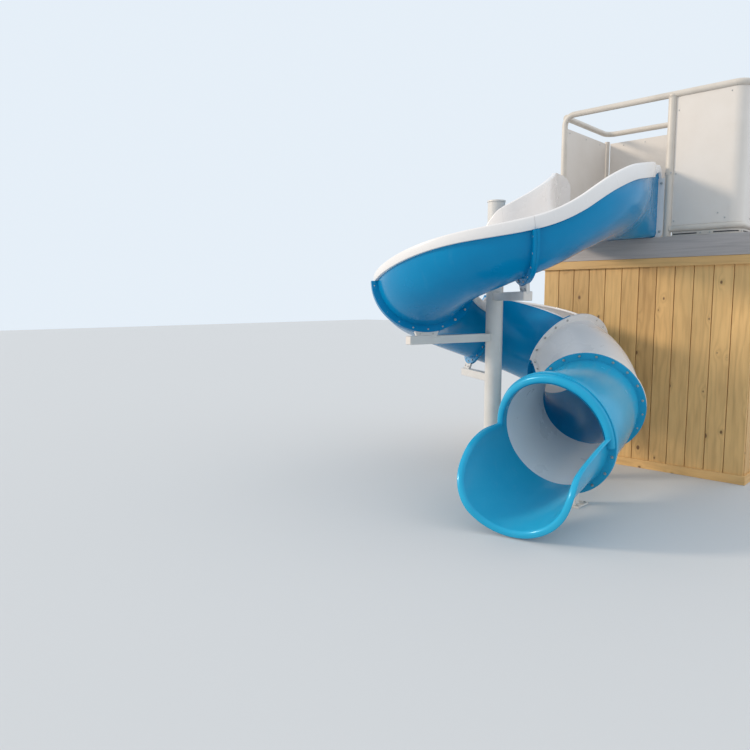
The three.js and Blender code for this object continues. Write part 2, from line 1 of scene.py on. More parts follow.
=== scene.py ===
# %% [markdown]
# # A pool slide on its tower
# The real thing is a small tower of upright pine boards with a guarded deck on top. A moulded
# flume leaves the deck, winds once round a steel post and ends in an open trough.
# Every shape below is a formula on a grid of numbers, so that a change of one named size
# carries through. Sizes are in millimetres, as on a workshop drawing, and become metres
# only when a mesh is made.

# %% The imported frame
import math

import bpy
import numpy as np
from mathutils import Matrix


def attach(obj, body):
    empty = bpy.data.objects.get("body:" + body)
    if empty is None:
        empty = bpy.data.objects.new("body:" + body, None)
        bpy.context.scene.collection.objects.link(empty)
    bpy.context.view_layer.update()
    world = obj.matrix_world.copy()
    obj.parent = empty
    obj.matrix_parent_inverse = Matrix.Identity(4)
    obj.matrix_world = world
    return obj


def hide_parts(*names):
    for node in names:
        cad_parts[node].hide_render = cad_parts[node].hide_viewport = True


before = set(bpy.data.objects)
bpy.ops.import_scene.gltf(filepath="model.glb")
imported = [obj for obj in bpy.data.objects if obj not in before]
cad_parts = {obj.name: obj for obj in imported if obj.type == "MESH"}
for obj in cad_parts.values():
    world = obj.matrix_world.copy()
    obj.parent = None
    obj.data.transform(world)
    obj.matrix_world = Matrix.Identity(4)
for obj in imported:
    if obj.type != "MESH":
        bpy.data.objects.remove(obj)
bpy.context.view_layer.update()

MM = 0.001
BODY = "root"
print(len(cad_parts), "solids in the frame")


def place(name, data):
    """Makes an object from its data and links it to the scene."""
    made = bpy.data.objects.new(name, data)
    bpy.context.scene.collection.objects.link(made)
    return made


# %% [markdown]
# ## Camera, floor and light
# The camera stands where the photographer stood: at chest height, to the right of the exit,
# looking slightly down. A low warm sun with a wide disc stands to the left, as in the afternoon
# picture; a pale sky fills the shade, and a faint light from behind shapes the far sides. The
# plain "Standard" view keeps the strong blue of the gel coat, which a film curve would fade.

# %% Camera
CAMERA_AT = (2.825, -4.36, 1.37)
CAMERA_HEADING = 43.0
CAMERA_DIP = 6.39
CAMERA_LENS, SENSOR = 32.16, 36.0
camera_data = bpy.data.cameras.new("camera")
camera_data.sensor_width = SENSOR
camera_data.lens = CAMERA_LENS
camera = place("camera", camera_data)
camera.location = CAMERA_AT
camera.rotation_euler = (math.radians(90 - CAMERA_DIP), 0, math.radians(CAMERA_HEADING))
bpy.context.scene.camera = camera
print("camera with a lens of", CAMERA_LENS, "mm")

# %% Light
SUN_STRENGTH = 1.8
SUN_DISC = 10.0
SKY_STRENGTH = 0.94
SKY_COLOUR = (0.84, 0.92, 1.0, 1)
bpy.context.scene.view_settings.view_transform = "Standard"


def sun(name, strength, disc, height, bearing, colour):
    """A far light: height above the horizon and bearing from +Y towards +X, in degrees."""
    data = bpy.data.lights.new(name, "SUN")
    data.energy = strength
    data.angle = math.radians(disc)
    data.color = colour
    angles = (math.radians(90 - height), 0, math.radians(180 - bearing))
    place(name, data).rotation_euler = angles


sun("key_light", SUN_STRENGTH, SUN_DISC, 20, 227, (1.0, 0.86, 0.70))
sun("far_light", 0.35, 60, 35, 50, (0.92, 0.96, 1.0))
world = bpy.data.worlds.new("sky")
world.use_nodes = True
for key, value in (("Color", SKY_COLOUR), ("Strength", SKY_STRENGTH)):
    world.node_tree.nodes["Background"].inputs[key].default_value = value
bpy.context.scene.world = world
print(len(bpy.data.lights), "lamps and a sky")


# %% [markdown]
# ## Finishes
# A finish is a small shader tree. To keep the maths readable, a socket is wrapped in a class
# that understands + - * and /, so a mask is written as it would be on paper.

# %% Shader helpers
def maths(operation, turned=False):
    """A method that adds one Math node for an operation on a wire and other values. Turned,
    the wire comes last, as in 1 - mask."""
    def method(self, *values, clamp=False):
        inputs = (*values, self) if turned else (self, *values)
        return self.finish.node("ShaderNodeMath", dict(enumerate(inputs)), operation=operation,
                                use_clamp=clamp)

    return method


class Wire:
    """A shader output that takes part in arithmetic, on either side of an operator."""

    __add__, __radd__ = maths("ADD"), maths("ADD", turned=True)
    __sub__, __rsub__ = maths("SUBTRACT"), maths("SUBTRACT", turned=True)
    __mul__, __rmul__ = maths("MULTIPLY"), maths("MULTIPLY", turned=True)
    __truediv__, __rtruediv__ = maths("DIVIDE"), maths("DIVIDE", turned=True)
    __pow__, __rpow__ = maths("POWER"), maths("POWER", turned=True)
    sine = maths("SINE")

    def __init__(self, finish, socket):
        self.finish, self.socket = finish, socket

    def clamped(self):
        """Cut off below 0 and above 1."""
        return self.__add__(0.0, clamp=True)

    def rise(self, low, high):
        """0 below low, 1 above high, straight between; high may be the smaller one."""
        return ((self - low) / (high - low)).clamped()


class Finish:
    """One material: its nodes are made by node(), and linked when a Wire is given."""

    def __init__(self, name, roughness=0.5, metallic=0.0, coat=0.0, coat_roughness=0.1):
        print("finish", name)
        self.material = bpy.data.materials.new(name)
        self.material.use_nodes = True
        self.tree = self.material.node_tree
        self.shader = self.tree.nodes["Principled BSDF"]
        self.finished(Roughness=roughness, Metallic=metallic, Coat_Weight=coat,
                      Coat_Roughness=coat_roughness)
        self.place = self.node("ShaderNodeTexCoord", output="Object")

    @staticmethod
    def live(sockets, key):
        """The enabled socket with a name, or at a place when key is a number."""
        enabled = [s for s in sockets if s.enabled]
        return enabled[key] if isinstance(key, int) else next(s for s in enabled if s.name == key)

    def set(self, node, key, value):
        """Links a wire to a socket or gives the socket a value; a colour gets alpha 1."""
        socket = self.live(node.inputs, key)
        if isinstance(value, Wire):
            self.tree.links.new(value.socket, socket)
        elif isinstance(value, tuple) and len(value) == 3 and socket.type == "RGBA":
            socket.default_value = (*value, 1)
        else:
            socket.default_value = value

    def node(self, kind, sockets=None, output=0, **settings):
        """Adds a node: its settings first, then its sockets."""
        node = self.tree.nodes.new(kind)
        for key, value in settings.items():
            setattr(node, key, value)
        for key, value in (sockets or {}).items():
            self.set(node, key, value)
        return Wire(self, self.live(node.outputs, output))

    def stretched(self, at, scale):
        """Coordinates times a scale on each axis."""
        return self.node("ShaderNodeMapping", {"Vector": at, "Scale": scale})

    def noise(self, scale, detail, at=None, stretch=None, roughness=0.55, distortion=0.0):
        """Noise on the object's own space or at, drawn out by stretch on each axis."""
        at = at or self.place
        if stretch:
            at = self.stretched(at, stretch)
        sockets = {"Vector": at, "Scale": scale, "Detail": detail, "Roughness": roughness,
                   "Distortion": distortion}
        return self.node("ShaderNodeTexNoise", sockets)

    def mixed(self, first, second, share):
        """first + (second - first) * share, for colours."""
        sockets = {"Factor": share, "A": first, "B": second}
        return self.node("ShaderNodeMix", sockets, data_type="RGBA")

    def bumped(self, height, distance, strength):
        """A normal leant by the slope of a height of 0 to 1, which stands for a distance in m."""
        sockets = {"Height": height, "Distance": distance, "Strength": strength}
        return self.node("ShaderNodeBump", sockets)

    def board(self):
        """What a board carries: its grain map and its own tone."""
        chart = self.node("ShaderNodeUVMap", uv_map="grain")
        return chart, self.node("ShaderNodeAttribute", attribute_name="tone", output="Fac")

    def finished(self, **sockets):
        """Feeds the shader: colour, roughness and normal, named by the shader's own sockets."""
        for key, value in sockets.items():
            self.set(self.shader, key.replace("_", " "), value)
        return self.material


# %% [markdown]
# ### Gel coat
# Flumes are laid up in a mould: the outer face is a glossy skin of gel coat with a faint
# waviness from the glass behind it, and rain leaves pale streaks. Two noises of different
# size carry the waviness, and a third one dulls the gloss in patches.

# %% Gel coat
def gel_coat(name, colour, shade, stain=(0.50, 0.52, 0.52), gloss=0.16, glint=(1.0, 1.0, 1.0)):
    """Colour = colour to shade by clouds, then to stain by streaks and specks; roughness =
    gloss + 0.16 * dull patches; normal from a slow ripple and a fine one."""
    skin = Finish(name, coat=0.12, coat_roughness=0.06)
    cloud = skin.noise(1.7, 4).rise(0.35, 0.7)
    body = skin.mixed(colour, shade, cloud)
    streaks = skin.noise(1.6, 5, stretch=(9.0, 9.0, 0.9)).rise(0.60, 0.82) * 0.07
    specks = skin.noise(95, 2).rise(0.70, 0.80) * 0.05
    dull = skin.noise(3.2, 5).rise(0.3, 0.8)
    ripple = skin.noise(6.5, 2) + skin.noise(150, 1) * 0.04
    return skin.finished(
        Base_Color=skin.mixed(skin.mixed(body, stain, streaks), stain, specks),
        Roughness=dull * 0.16 + gloss,
        Normal=skin.bumped(ripple, 0.0004, 0.6),
        Specular_IOR_Level=0.40,
        Specular_Tint=glint,
    )


BLUE_GLINT = (0.30, 0.72, 1.0)
BLUE = gel_coat("blue_gel_coat", (0.0, 0.235, 0.480), (0.0, 0.195, 0.420),
                stain=(0.20, 0.42, 0.55), glint=BLUE_GLINT)
BRIGHT_BLUE = gel_coat("bright_blue_gel_coat", (0.030, 0.390, 0.620), (0.015, 0.340, 0.570),
                       stain=(0.25, 0.50, 0.62), glint=BLUE_GLINT)
WHITE = gel_coat("white_gel_coat", (0.84, 0.81, 0.79), (0.79, 0.755, 0.735),
                 stain=(0.50, 0.45, 0.39), gloss=0.22)
# Lining of the exit tube: white gel coat tinted blue, the tint being painted reflection of the blue
# shell round it.
LINING_WITH_PAINTED_REFLECTION = gel_coat("lining_with_painted_blue_reflection", (0.76, 0.80, 0.83), (0.70, 0.755, 0.80), gloss=0.24)


# %% [markdown]
# ### Paint and metal
# Rails, post and arms are powder coated: an even off-white skin with a very fine orange peel. On
# the rails the off-white is warmed by painted warm reflection.
# Fasteners are stainless steel, which needs a metallic shader and a rougher, darker look.

# %% Powder coat, sheet panel and steel
def powder_coat(name, colour, worn, roughness=0.34):
    """Colour = colour to worn by clouds, then by upright runs; roughness + 0.14 * clouds."""
    skin = Finish(name)
    cloud = skin.noise(4.5, 4).rise(0.35, 0.75)
    runs = skin.noise(1.4, 4, stretch=(30.0, 30.0, 2.2)).rise(0.58, 0.85) * 0.22
    peel = skin.noise(420, 2)
    return skin.finished(
        Base_Color=skin.mixed(skin.mixed(colour, worn, cloud), worn, runs),
        Roughness=cloud * 0.14 + roughness,
        Normal=skin.bumped(peel, 0.0002, 0.5),
    )


# The rails' coat is warmed towards gold: partly the paint's own colour, partly painted warm
# reflection.
RAIL_PAINT_AND_WARM_REFLECTION = powder_coat("rail_coat_and_painted_warm_reflection", (0.66, 0.60, 0.53), (0.57, 0.515, 0.45))
POST = powder_coat("post_powder_coat", (0.72, 0.69, 0.65), (0.62, 0.59, 0.55))
SHEET = powder_coat("panel_sheet", (0.74, 0.685, 0.63), (0.70, 0.64, 0.58), roughness=0.44)


def steel(name, colour, roughness):
    """Colour down to 0.6 of itself and roughness + 0.2, both by one fine noise."""
    skin = Finish(name, metallic=1.0)
    grain = skin.noise(260, 3)
    return skin.finished(
        Base_Color=skin.mixed(colour, tuple(0.6 * c for c in colour), grain.rise(0.4, 0.8)),
        Roughness=grain * 0.2 + roughness,
        Normal=skin.bumped(grain, 0.0002, 0.4),
    )


STAINLESS = steel("stainless_fastener", (0.56, 0.55, 0.53), 0.30)
# Painted shadow: a near-black strip behind the toe track's slot stands in for the shade in the
# slot.
SHADOW = powder_coat("painted_slot_shadow", (0.05, 0.05, 0.055), (0.08, 0.08, 0.085), 0.6)


# %% [markdown]
# ### Pine and composite boards
# A board carries its own UV map: V runs along the grain and every board starts at its own
# random place, so no two look alike. Growth rings are a sine of the distance from a wandering
# heart line. Knots are the cells of a stretched Voronoi pattern, and the rings bend round them.

# %% Timber
KNOT = (0.125, 0.050, 0.018)


def pine(name, light, dark):
    """Shade = 0.62 grain + 0.42 tone + 0.60 cloud + 0.35 streak - 0.46, from light to dark; a
    knot is the heart of a cell, with a dark halo 2.2 times as wide round it."""
    wood = Finish(name, coat=0.05, coat_roughness=0.4)
    chart, tone = wood.board()
    cells = wood.node("ShaderNodeTexVoronoi",
                      {"Vector": wood.stretched(chart, (3.3, 2.3, 1.0)), "Scale": 1.0,
                       "Randomness": 0.95}, output="Distance", voronoi_dimensions="2D")
    ripple = wood.noise(1.0, 3, chart, (7.0, 0.9, 1.0))
    near_knot = cells.rise(0.20, 0.0) ** 2.0
    axis = wood.node("ShaderNodeSeparateXYZ", {0: chart}, output="X")
    rings = (axis * 120.0 + ripple * 34.0 + near_knot * 9.0).sine() * 0.5 + 0.5
    fine = wood.noise(1.0, 4, chart, (260.0, 7.0, 1.0))
    fibre = wood.noise(1.0, 2, chart, (900.0, 26.0, 1.0))
    grain = (rings ** 2.0) * 0.34 + fine * 0.66
    cloud = wood.noise(2.6, 4, chart, (3.0, 0.8, 1.0))
    streak = wood.noise(1.0, 4, chart, (26.0, 1.3, 1.0)).rise(0.52, 0.78)
    shade = (grain * 0.62 + tone * 0.42 + cloud * 0.60 + streak * 0.35 - 0.46).clamped()
    size = wood.noise(3.1, 1, chart).rise(0.35, 0.68) * 0.046 + 0.010
    heart = ((size - cells) / 0.016).clamped() * 0.85
    halo = ((size * 2.2 - cells) / 0.09).clamped() * 0.55
    body = wood.mixed(light, dark, shade)
    return wood.finished(
        Base_Color=wood.mixed(wood.mixed(body, dark, halo), KNOT, heart),
        Roughness=grain * 0.16 + 0.50,
        Normal=wood.bumped(grain + fibre * 0.5, 0.0006, 0.45),
    )


PINE = pine("pine_boards", (0.82, 0.51, 0.20), (0.43, 0.235, 0.080))
TRIM_PINE = pine("pine_trim", (0.78, 0.48, 0.19), (0.44, 0.245, 0.085))


def composite(name, light, dark):
    """Shade = 0.55 long marks + 0.3 fine grain + 0.25 tone, from light to dark."""
    plank = Finish(name)
    chart, tone = plank.board()
    long_marks = plank.noise(1.0, 5, chart, (42.0, 1.6, 1.0), 0.65, 0.6)
    fine = plank.noise(1.0, 3, chart, (330.0, 8.0, 1.0), 0.6)
    mark = long_marks.rise(0.42, 0.68)
    return plank.finished(
        Base_Color=plank.mixed(light, dark, (mark * 0.55 + fine * 0.3 + tone * 0.25).clamped()),
        Roughness=mark * 0.12 + 0.52,
        Normal=plank.bumped(long_marks + fine * 0.4, 0.0012, 0.6),
    )


COMPOSITE = composite("composite_boards", (0.50, 0.455, 0.435), (0.33, 0.30, 0.29))

# %% [markdown]
# ## From arrays to pieces
# A Bundle gathers the points and faces of the parts of one piece, with a finish number, a tone
# and grain coordinates for each face, and then makes one mesh of them.


# %% Bundle
class Bundle:
    """Parts of one piece: (points, faces, finish number of each face, grain UV of each corner)."""

    def __init__(self):
        self.points, self.faces, self.paint, self.tone, self.chart = [], [], [], [], []
        self.count = 0

    def add(self, points, faces, paint=0, tone=0.5, grain=None, offset=(0.0, 0.0), caps=()):
        """grain is the axis, 0 to 2, along which the fibres of the part run; caps are faces
        with another number of corners."""
        points = np.asarray(points, float)
        for some in (faces, caps):
            if len(some):
                some = np.asarray(some, int)
                self.faces += (some + self.count).tolist()
                self.paint += np.broadcast_to(paint, len(some)).tolist()
                self.tone += [tone] * len(some)
                self.chart.append(grain_chart(points, some, grain, offset))
        self.points.append(points)
        self.count += len(points)

    def piece(self, name, finishes, bevel=0.0, sharp=32.0, solid=True):
        """Makes the mesh; it takes the place of the solid of the same name, if there is one."""
        mesh = bpy.data.meshes.new(name)
        mesh.from_pydata(np.vstack(self.points) * MM, [], self.faces)
        for finish in finishes:
            mesh.materials.append(finish)
        mesh.polygons.foreach_set("material_index", self.paint)
        chart = mesh.uv_layers.new(name="grain")
        chart.data.foreach_set("uv", np.concatenate(self.chart).ravel())
        tone = mesh.attributes.new("tone", "FLOAT", "FACE")
        tone.data.foreach_set("value", self.tone)
        mesh.polygons.foreach_set("use_smooth", [True] * len(self.faces))
        mesh.set_sharp_from_angle(angle=math.radians(sharp))
        made = place(name, mesh)
        if bevel:
            edge = made.modifiers.new("edge", "BEVEL")
            edge.width = bevel * MM
            edge.segments = 2
            edge.limit_method = "ANGLE"
            edge.angle_limit = math.radians(50)
        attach(made, BODY)
        if solid:
            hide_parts(name)
        print(name, len(self.faces), "faces")


def grain_chart(points, faces, grain, offset):
    """UV of each face corner in metres: V along the grain axis, U along the other axis that
    the face spans most. Without a grain axis all is zero."""
    corners = points[faces]
    if grain is None:
        return np.zeros((faces.size, 2))
    normal = np.abs(np.cross(corners[:, 1] - corners[:, 0], corners[:, 2] - corners[:, 0]))
    normal[:, grain] = -1
    facing = normal.argmax(1)
    across = 3 - grain - facing
    u = np.take_along_axis(corners, across[:, None, None], 2)[..., 0]
    v = corners[..., grain]
    return (np.stack([u, v], -1).reshape(-1, 2) * MM) + np.asarray(offset)


# %% [markdown]
# ## Basic forms
# Boards and plates are boxes; posts and rails are circles carried along a line. The frame of a
# carried circle turns as little as possible, so that a tube doesn't twist in its bends.

# %% Boxes, tubes and bolts
BOX_CORNERS = np.array([[x, y, z] for z in (0, 1) for y in (0, 1) for x in (0, 1)], float)
BOX_FACES = [[0, 2, 3, 1], [4, 5, 7, 6], [0, 1, 5, 4], [2, 6, 7, 3], [0, 4, 6, 2], [1, 3, 7, 5]]


def box(low, high):
    """The eight corners and six faces of an upright box."""
    low, high = np.asarray(low, float), np.asarray(high, float)
    return low + BOX_CORNERS * (high - low), BOX_FACES


def ring_faces(rows, sides):
    """Quads between rings of points that follow each other."""
    i, j = np.meshgrid(np.arange(rows - 1), np.arange(sides), indexing="ij")
    a = i * sides + j
    b = i * sides + (j + 1) % sides
    return np.stack([a, b, b + sides, a + sides], -1).reshape(-1, 4)


def unit(vectors):
    """Each vector divided by its own length."""
    return vectors / np.linalg.norm(vectors, axis=-1, keepdims=True)


def polar(angle, radius):
    """Flat points at angles, in radians, on a circle."""
    return np.stack([radius * np.cos(angle), radius * np.sin(angle)], -1)


def lengths(line):
    """Distance along a line to each of its points."""
    return np.r_[0, np.cumsum(np.linalg.norm(np.diff(line, axis=0), axis=1))]


def at_lengths(want, run, line):
    """Flat points at wanted distances along a line, whose own distances are run."""
    return np.stack([np.interp(want, run, line[:, k]) for k in (0, 1)], -1)


def tube(path, radii, sides):
    """Rings of radius radii round the points of a path: points, quads and end triangles.
    Ring directions: the mean of the two chords; the side vector is carried from ring to ring
    with its part along the path taken out."""
    path = np.asarray(path, float)
    radii = np.broadcast_to(radii, len(path)).astype(float)
    chord = unit(np.diff(path, axis=0))
    along = unit(np.vstack([chord[:1], chord[:-1] + chord[1:], chord[-1:]]))
    side = np.array([0, 0, 1.0]) if abs(along[0, 2]) < 0.9 else np.array([1.0, 0, 0])
    first = []
    for direction in along:
        side = unit(side - direction * (side @ direction))
        first.append(side)
    first = np.array(first)
    second = np.cross(along, first)
    flat = polar(np.linspace(0, 2 * math.pi, sides, endpoint=False), radii[:, None])
    rings = path[:, None] + flat[..., :1] * first[:, None] + flat[..., 1:] * second[:, None]
    points = np.vstack([rings.reshape(-1, 3), path[:1], path[-1:]])
    return points, ring_faces(len(path), sides), cap_faces(len(path), sides)


def cap_faces(rows, sides):
    """Triangles that close a tube, round a hub point at each end."""
    j = np.arange(sides)
    k = (j + 1) % sides
    last = (rows - 1) * sides
    hub, end = rows * sides, rows * sides + 1
    start = np.stack([np.full(sides, hub), k, j], -1)
    stop = np.stack([np.full(sides, end), last + j, last + k], -1)
    return np.vstack([start, stop])


def add_tube(bundle, path, radii, sides=32, paint=0):
    """A closed tube along a path, as tube() works it out."""
    points, quads, caps = tube(path, radii, sides)
    bundle.add(points, quads, paint, caps=caps)


def add_turned(bundle, profile, x=0.0, y=0.0, sides=36):
    """An upright turned form at (x, y): its profile is a list of (height, radius)."""
    add_tube(bundle, [(x, y, z) for z, _ in profile], [r for _, r in profile], sides)


def rounded(corners, radius, steps=10):
    """A line with its corners replaced by arcs of one radius."""
    corners = np.asarray(corners, float)
    line = [corners[:1]]
    for before, corner, after in zip(corners[:-2], corners[1:-1], corners[2:]):
        d1, d2 = unit(before - corner), unit(after - corner)
        half = math.acos(np.clip(d1 @ d2, -1, 1)) / 2
        centre = corner + unit(d1 + d2) * radius / math.sin(half)
        start = corner + d1 * radius / math.tan(half) - centre
        stop = corner + d2 * radius / math.tan(half) - centre
        sweep = math.pi - 2 * half
        aside = unit(stop - start * (stop @ start) / (start @ start)) * radius
        angle = np.linspace(0, sweep, steps + 1)[:, None]
        line.append(centre + start * np.cos(angle) + aside * np.sin(angle))
    line.append(corners[-1:])
    return np.vstack(line)


BOLT_PROFILE = [(0.0, 9.5), (1.6, 9.5), (1.6, 6.5), (6.4, 6.3), (7.4, 4.6), (7.6, 0.6)]
BOLT_SIDES = 12


def bolt_form():
    """A washer under a domed head, along +Z: rings of (height, radius), twelve points each."""
    angle = np.linspace(0, 2 * math.pi, BOLT_SIDES, endpoint=False)
    rings = [np.column_stack([polar(angle, r), np.full(BOLT_SIDES, z)]) for z, r in BOLT_PROFILE]
    return np.vstack(rings), ring_faces(len(BOLT_PROFILE), BOLT_SIDES)


def add_bolts(bundle, places, directions, scale=1.0):
    """One bolt at each place, its axis along the direction given for it: the form is turned by
    the three unit vectors across and along that direction."""
    form, faces = bolt_form()
    top = np.arange(len(form))[None, -BOLT_SIDES:]
    along = unit(np.asarray(directions, float))
    helper = np.where(np.abs(along[:, 2:]) < 0.9, [[0, 0, 1.0]], [[1.0, 0, 0]])
    first = unit(np.cross(helper, along))
    second = np.cross(along, first)
    turn = np.stack([first, second, along], 1)
    points = np.einsum("pk,bkx->bpx", form * scale, turn) + np.asarray(places)[:, None]
    for cluster in points:
        bundle.add(cluster, faces, caps=top)


# %% [markdown]
# ## The line of the slide
# The bore's axis is a path given by its plan and its height. In plan it is an S-shaped bend
# off the deck, most of a circle round the post, then two gentle arcs. The height is a smooth
# curve through measured knots, as a loftsman would draw it with a spline.

# %% Path
HX, HY, HELIX_R = 135.0, -60.0, 620.0
BORE_R, SHELL_T = 322.0, 12.0
OUTER_R = BORE_R + SHELL_T
FLANGE_H, FLANGE_T, FLANGE_SKEW, FLANGE_PLUMB = 48.0, 11.0, -9.0, 0.67
LIP_W = 22.0
ENTRY_X, ENTRY_Y, ENTRY_HALF, ENTRY_RUN = 407.0, 1077.5, 365.0, 1190.0
EXIT_TURN, EXIT_BEND, TUBE_LEN = 345.0, 15.0, 660.0
MOUTH_R, MOUTH_RING = 346.0, 52.0
TROUGH_LEN, TROUGH_BEND, END_R = 635.0, -9.0, 330.0
DEG = HELIX_R * math.pi / 180


def at_turn(turn):
    """Distance along the path at a turn of the spiral, in degrees."""
    return ENTRY_RUN + turn * DEG


FLANGE_AT = [at_turn(turn) for turn in (52, 130, 222, 290)]
TUBE_AT = at_turn(EXIT_TURN)
MOUTH_AT = TUBE_AT + TUBE_LEN
END_AT = MOUTH_AT + TROUGH_LEN


def smooth(t):
    """0 to 1 with level ends: 3 t^2 - 2 t^3."""
    t = np.clip(t, 0, 1)
    return t * t * (3 - 2 * t)


def mix(a, b, t):
    """a at t = 0, b at t = 1, straight between."""
    return a + (b - a) * t


def curve(knots, turns=()):
    """Cubic stretches through (distance, value) and (turn, value) knots, each knot's slope
    that of the chord between its neighbours, level at the start."""
    knots = sorted([*knots, *((at_turn(turn), value) for turn, value in turns)])
    at, value = np.array(knots, float).T
    slope = np.zeros(len(at))
    slope[1:-1] = (value[2:] - value[:-2]) / (at[2:] - at[:-2])
    slope[-1] = (value[-1] - value[-2]) / (at[-1] - at[-2])

    def read(x):
        x = np.asarray(x, float)
        i = np.clip(np.searchsorted(at, x) - 1, 0, len(at) - 2)
        h = at[i + 1] - at[i]
        t = (x - at[i]) / h
        return ((2 * t**3 - 3 * t**2 + 1) * value[i] + (t**3 - 2 * t**2 + t) * h * slope[i]
                + (3 * t**2 - 2 * t**3) * value[i + 1] + (t**3 - t**2) * h * slope[i + 1])

    return read


height = curve(
    [(0, 2190.3), (130, 2190.5), (320, 2175), (TUBE_AT, 645), (MOUTH_AT, 534), (END_AT, 367)],
    [(0, 2077), (25, 1985), (50, 1852), (90, 1690), (130, 1500), (175, 1372), (222, 1201),
     (255, 1071), (290, 918)])
rim_out = curve([(0, 215), (500, 205)],
                [(0, 146), (16, 104), (32, 36), (50, 20), (90, 42), (130, 66), (222, 80)])
rim_in = curve([(0, 212), (300, 205)],
               [(0, 95), (32, 122), (60, 165), (110, 110), (180, 62), (222, 90)])
lip_height = curve([(0, 50), (150, 58), (400, 84), (700, 98)],
                   [(0, 96), (25, 88), (52, 80), (80, 66), (130, 62), (222, 62)])


# The top corners of the flume at the deck are rounded off.
CORNER_RUN, CORNER_DROP = 115.0, 76.0


def rounded_end(line):
    """A rim line less CORNER_DROP (1 - sqrt(1 - g^2)), g being 1 at the deck and 0 after
    CORNER_RUN."""
    def read(d):
        gone = np.clip(1 - np.asarray(d, float) / CORNER_RUN, 0, 1)
        return line(d) - CORNER_DROP * (1 - np.sqrt(1 - gone**2))

    return read


rim_out, rim_in = rounded_end(rim_out), rounded_end(rim_in)


def arc_point(start, angle, radius, run):
    """Plan point after a run along an arc that leaves start at a turn angle."""
    return start + polar(-angle - np.asarray(run) / radius, radius) - polar(-angle, radius)


def plan(d):
    """Plan point of the path at each distance d."""
    d = np.asarray(d, float)
    t = d / ENTRY_RUN
    entry = np.stack([mix(ENTRY_X, HX + HELIX_R, smooth(t)), mix(ENTRY_Y, HY, t)], -1)
    spiral = (HX, HY) + polar((ENTRY_RUN - d) / HELIX_R, HELIX_R)
    angle = math.radians(EXIT_TURN)
    start = (HX, HY) + polar(-angle, HELIX_R)
    bend = math.radians(EXIT_BEND)
    pipe = arc_point(start, angle, TUBE_LEN / bend, d - TUBE_AT)
    mouth = arc_point(start, angle, TUBE_LEN / bend, TUBE_LEN)
    radius = TROUGH_LEN / math.radians(TROUGH_BEND)
    trough = arc_point(mouth, angle + bend, radius, d - MOUTH_AT)
    steps = [(d <= ENTRY_RUN)[..., None], (d <= TUBE_AT)[..., None], (d <= MOUTH_AT)[..., None]]
    return np.select(steps, [entry, spiral, pipe], trough)


def near(d, centre, width):
    """1 at a distance centre, falling smoothly to 0 at width from it."""
    return smooth(1 - np.abs(d - centre) / width)


def stations(d):
    """Frames along the path: centre, level vector to the left of travel, vector up and
    vector along. Near the deck and the first joint a section stands plumb, elsewhere square
    to the slope; at the first joint it is turned a little in plan too."""
    d = np.atleast_1d(np.asarray(d, float))
    step = 0.5
    before, after = np.maximum(0, d - step), d + step
    run = plan(after) - plan(before)
    length = np.linalg.norm(run, axis=1)
    heading = run / length[:, None]
    plumb = np.maximum(1 - smooth(d / 500), FLANGE_PLUMB * near(d, FLANGE_AT[0], 320))
    slope = (height(after) - height(before)) / length * (1 - plumb)
    scale = np.sqrt(1 + slope**2)
    skew = math.radians(FLANGE_SKEW) * near(d, FLANGE_AT[0], 320)
    left = np.stack([-heading[:, 1], heading[:, 0]], -1)
    turned = left * np.cos(skew)[:, None] + heading * np.sin(skew)[:, None]
    flat = np.zeros(len(d))
    return {
        "centre": np.column_stack([plan(d), height(d)]),
        "left": np.column_stack([turned, flat]),
        "up": np.column_stack([-heading * (slope / scale)[:, None], 1 / scale]),
        "along": np.column_stack([heading / scale[:, None], slope / scale]),
    }


def carry(d, sections):
    """Puts flat sections, (distance, point, 2), on the path's frames."""
    f = stations(d)
    centre, left, up = (f[key][:, None] for key in ("centre", "left", "up"))
    return centre + left * sections[..., :1] + up * sections[..., 1:]


print("path length", round(float(END_AT)), "mm")

# %% [markdown]
# ## Shells
# A moulding is a wall between two grids: its outer and its inner face. The same function closes
# the wall along its rims and at both ends, and says which faces are which, so that the outside
# can be blue and the inside white.


# %% Closed wall between two grids
def wall(outer, inner, wrap=False, lip=0):
    """Points, faces and finish numbers of a closed wall. Row i is a station, column j a place
    on the section. Finish 0 is the outer face, 1 the inner face, the rims and the first and
    last lip columns of the outer face."""
    n, m = outer.shape[:2]
    points = np.vstack([outer.reshape(-1, 3), inner.reshape(-1, 3)])
    columns = m if wrap else m - 1
    i, j = np.meshgrid(np.arange(n - 1), np.arange(columns), indexing="ij")
    a, b = i * m + j, i * m + (j + 1) % m
    skin = np.stack([a, b, b + m, a + m], -1).reshape(-1, 4)
    skin_paint = np.where((j < lip) | (j >= columns - lip), 1, 0).ravel()
    lining = skin[:, ::-1] + n * m
    parts, paint = [skin, lining], [skin_paint, np.ones(len(lining), int)]
    if not wrap:
        k = np.arange(n - 1) * m
        low = np.stack([k, k + m, k + m + n * m, k + n * m], -1)
        high = np.stack([k + m, k, k + n * m, k + m + n * m], -1) + m - 1
        parts += [low, high]
        paint += [np.ones(len(low), int)] * 2
    j = np.arange(columns)
    k = (j + 1) % m
    last = (n - 1) * m
    ends = [np.stack([k, j, j + n * m, k + n * m], -1),
            np.stack([last + j, last + k, last + k + n * m, last + j + n * m], -1)]
    parts += ends
    paint += [np.ones(columns, int)] * 2
    faces = np.vstack(parts)
    corners = points[faces]
    volume = sum((corners[:, 0] * np.cross(corners[:, k], corners[:, k + 1])).sum() for k in (1, 2))
    return points, faces if volume > 0 else faces[:, ::-1], np.concatenate(paint)


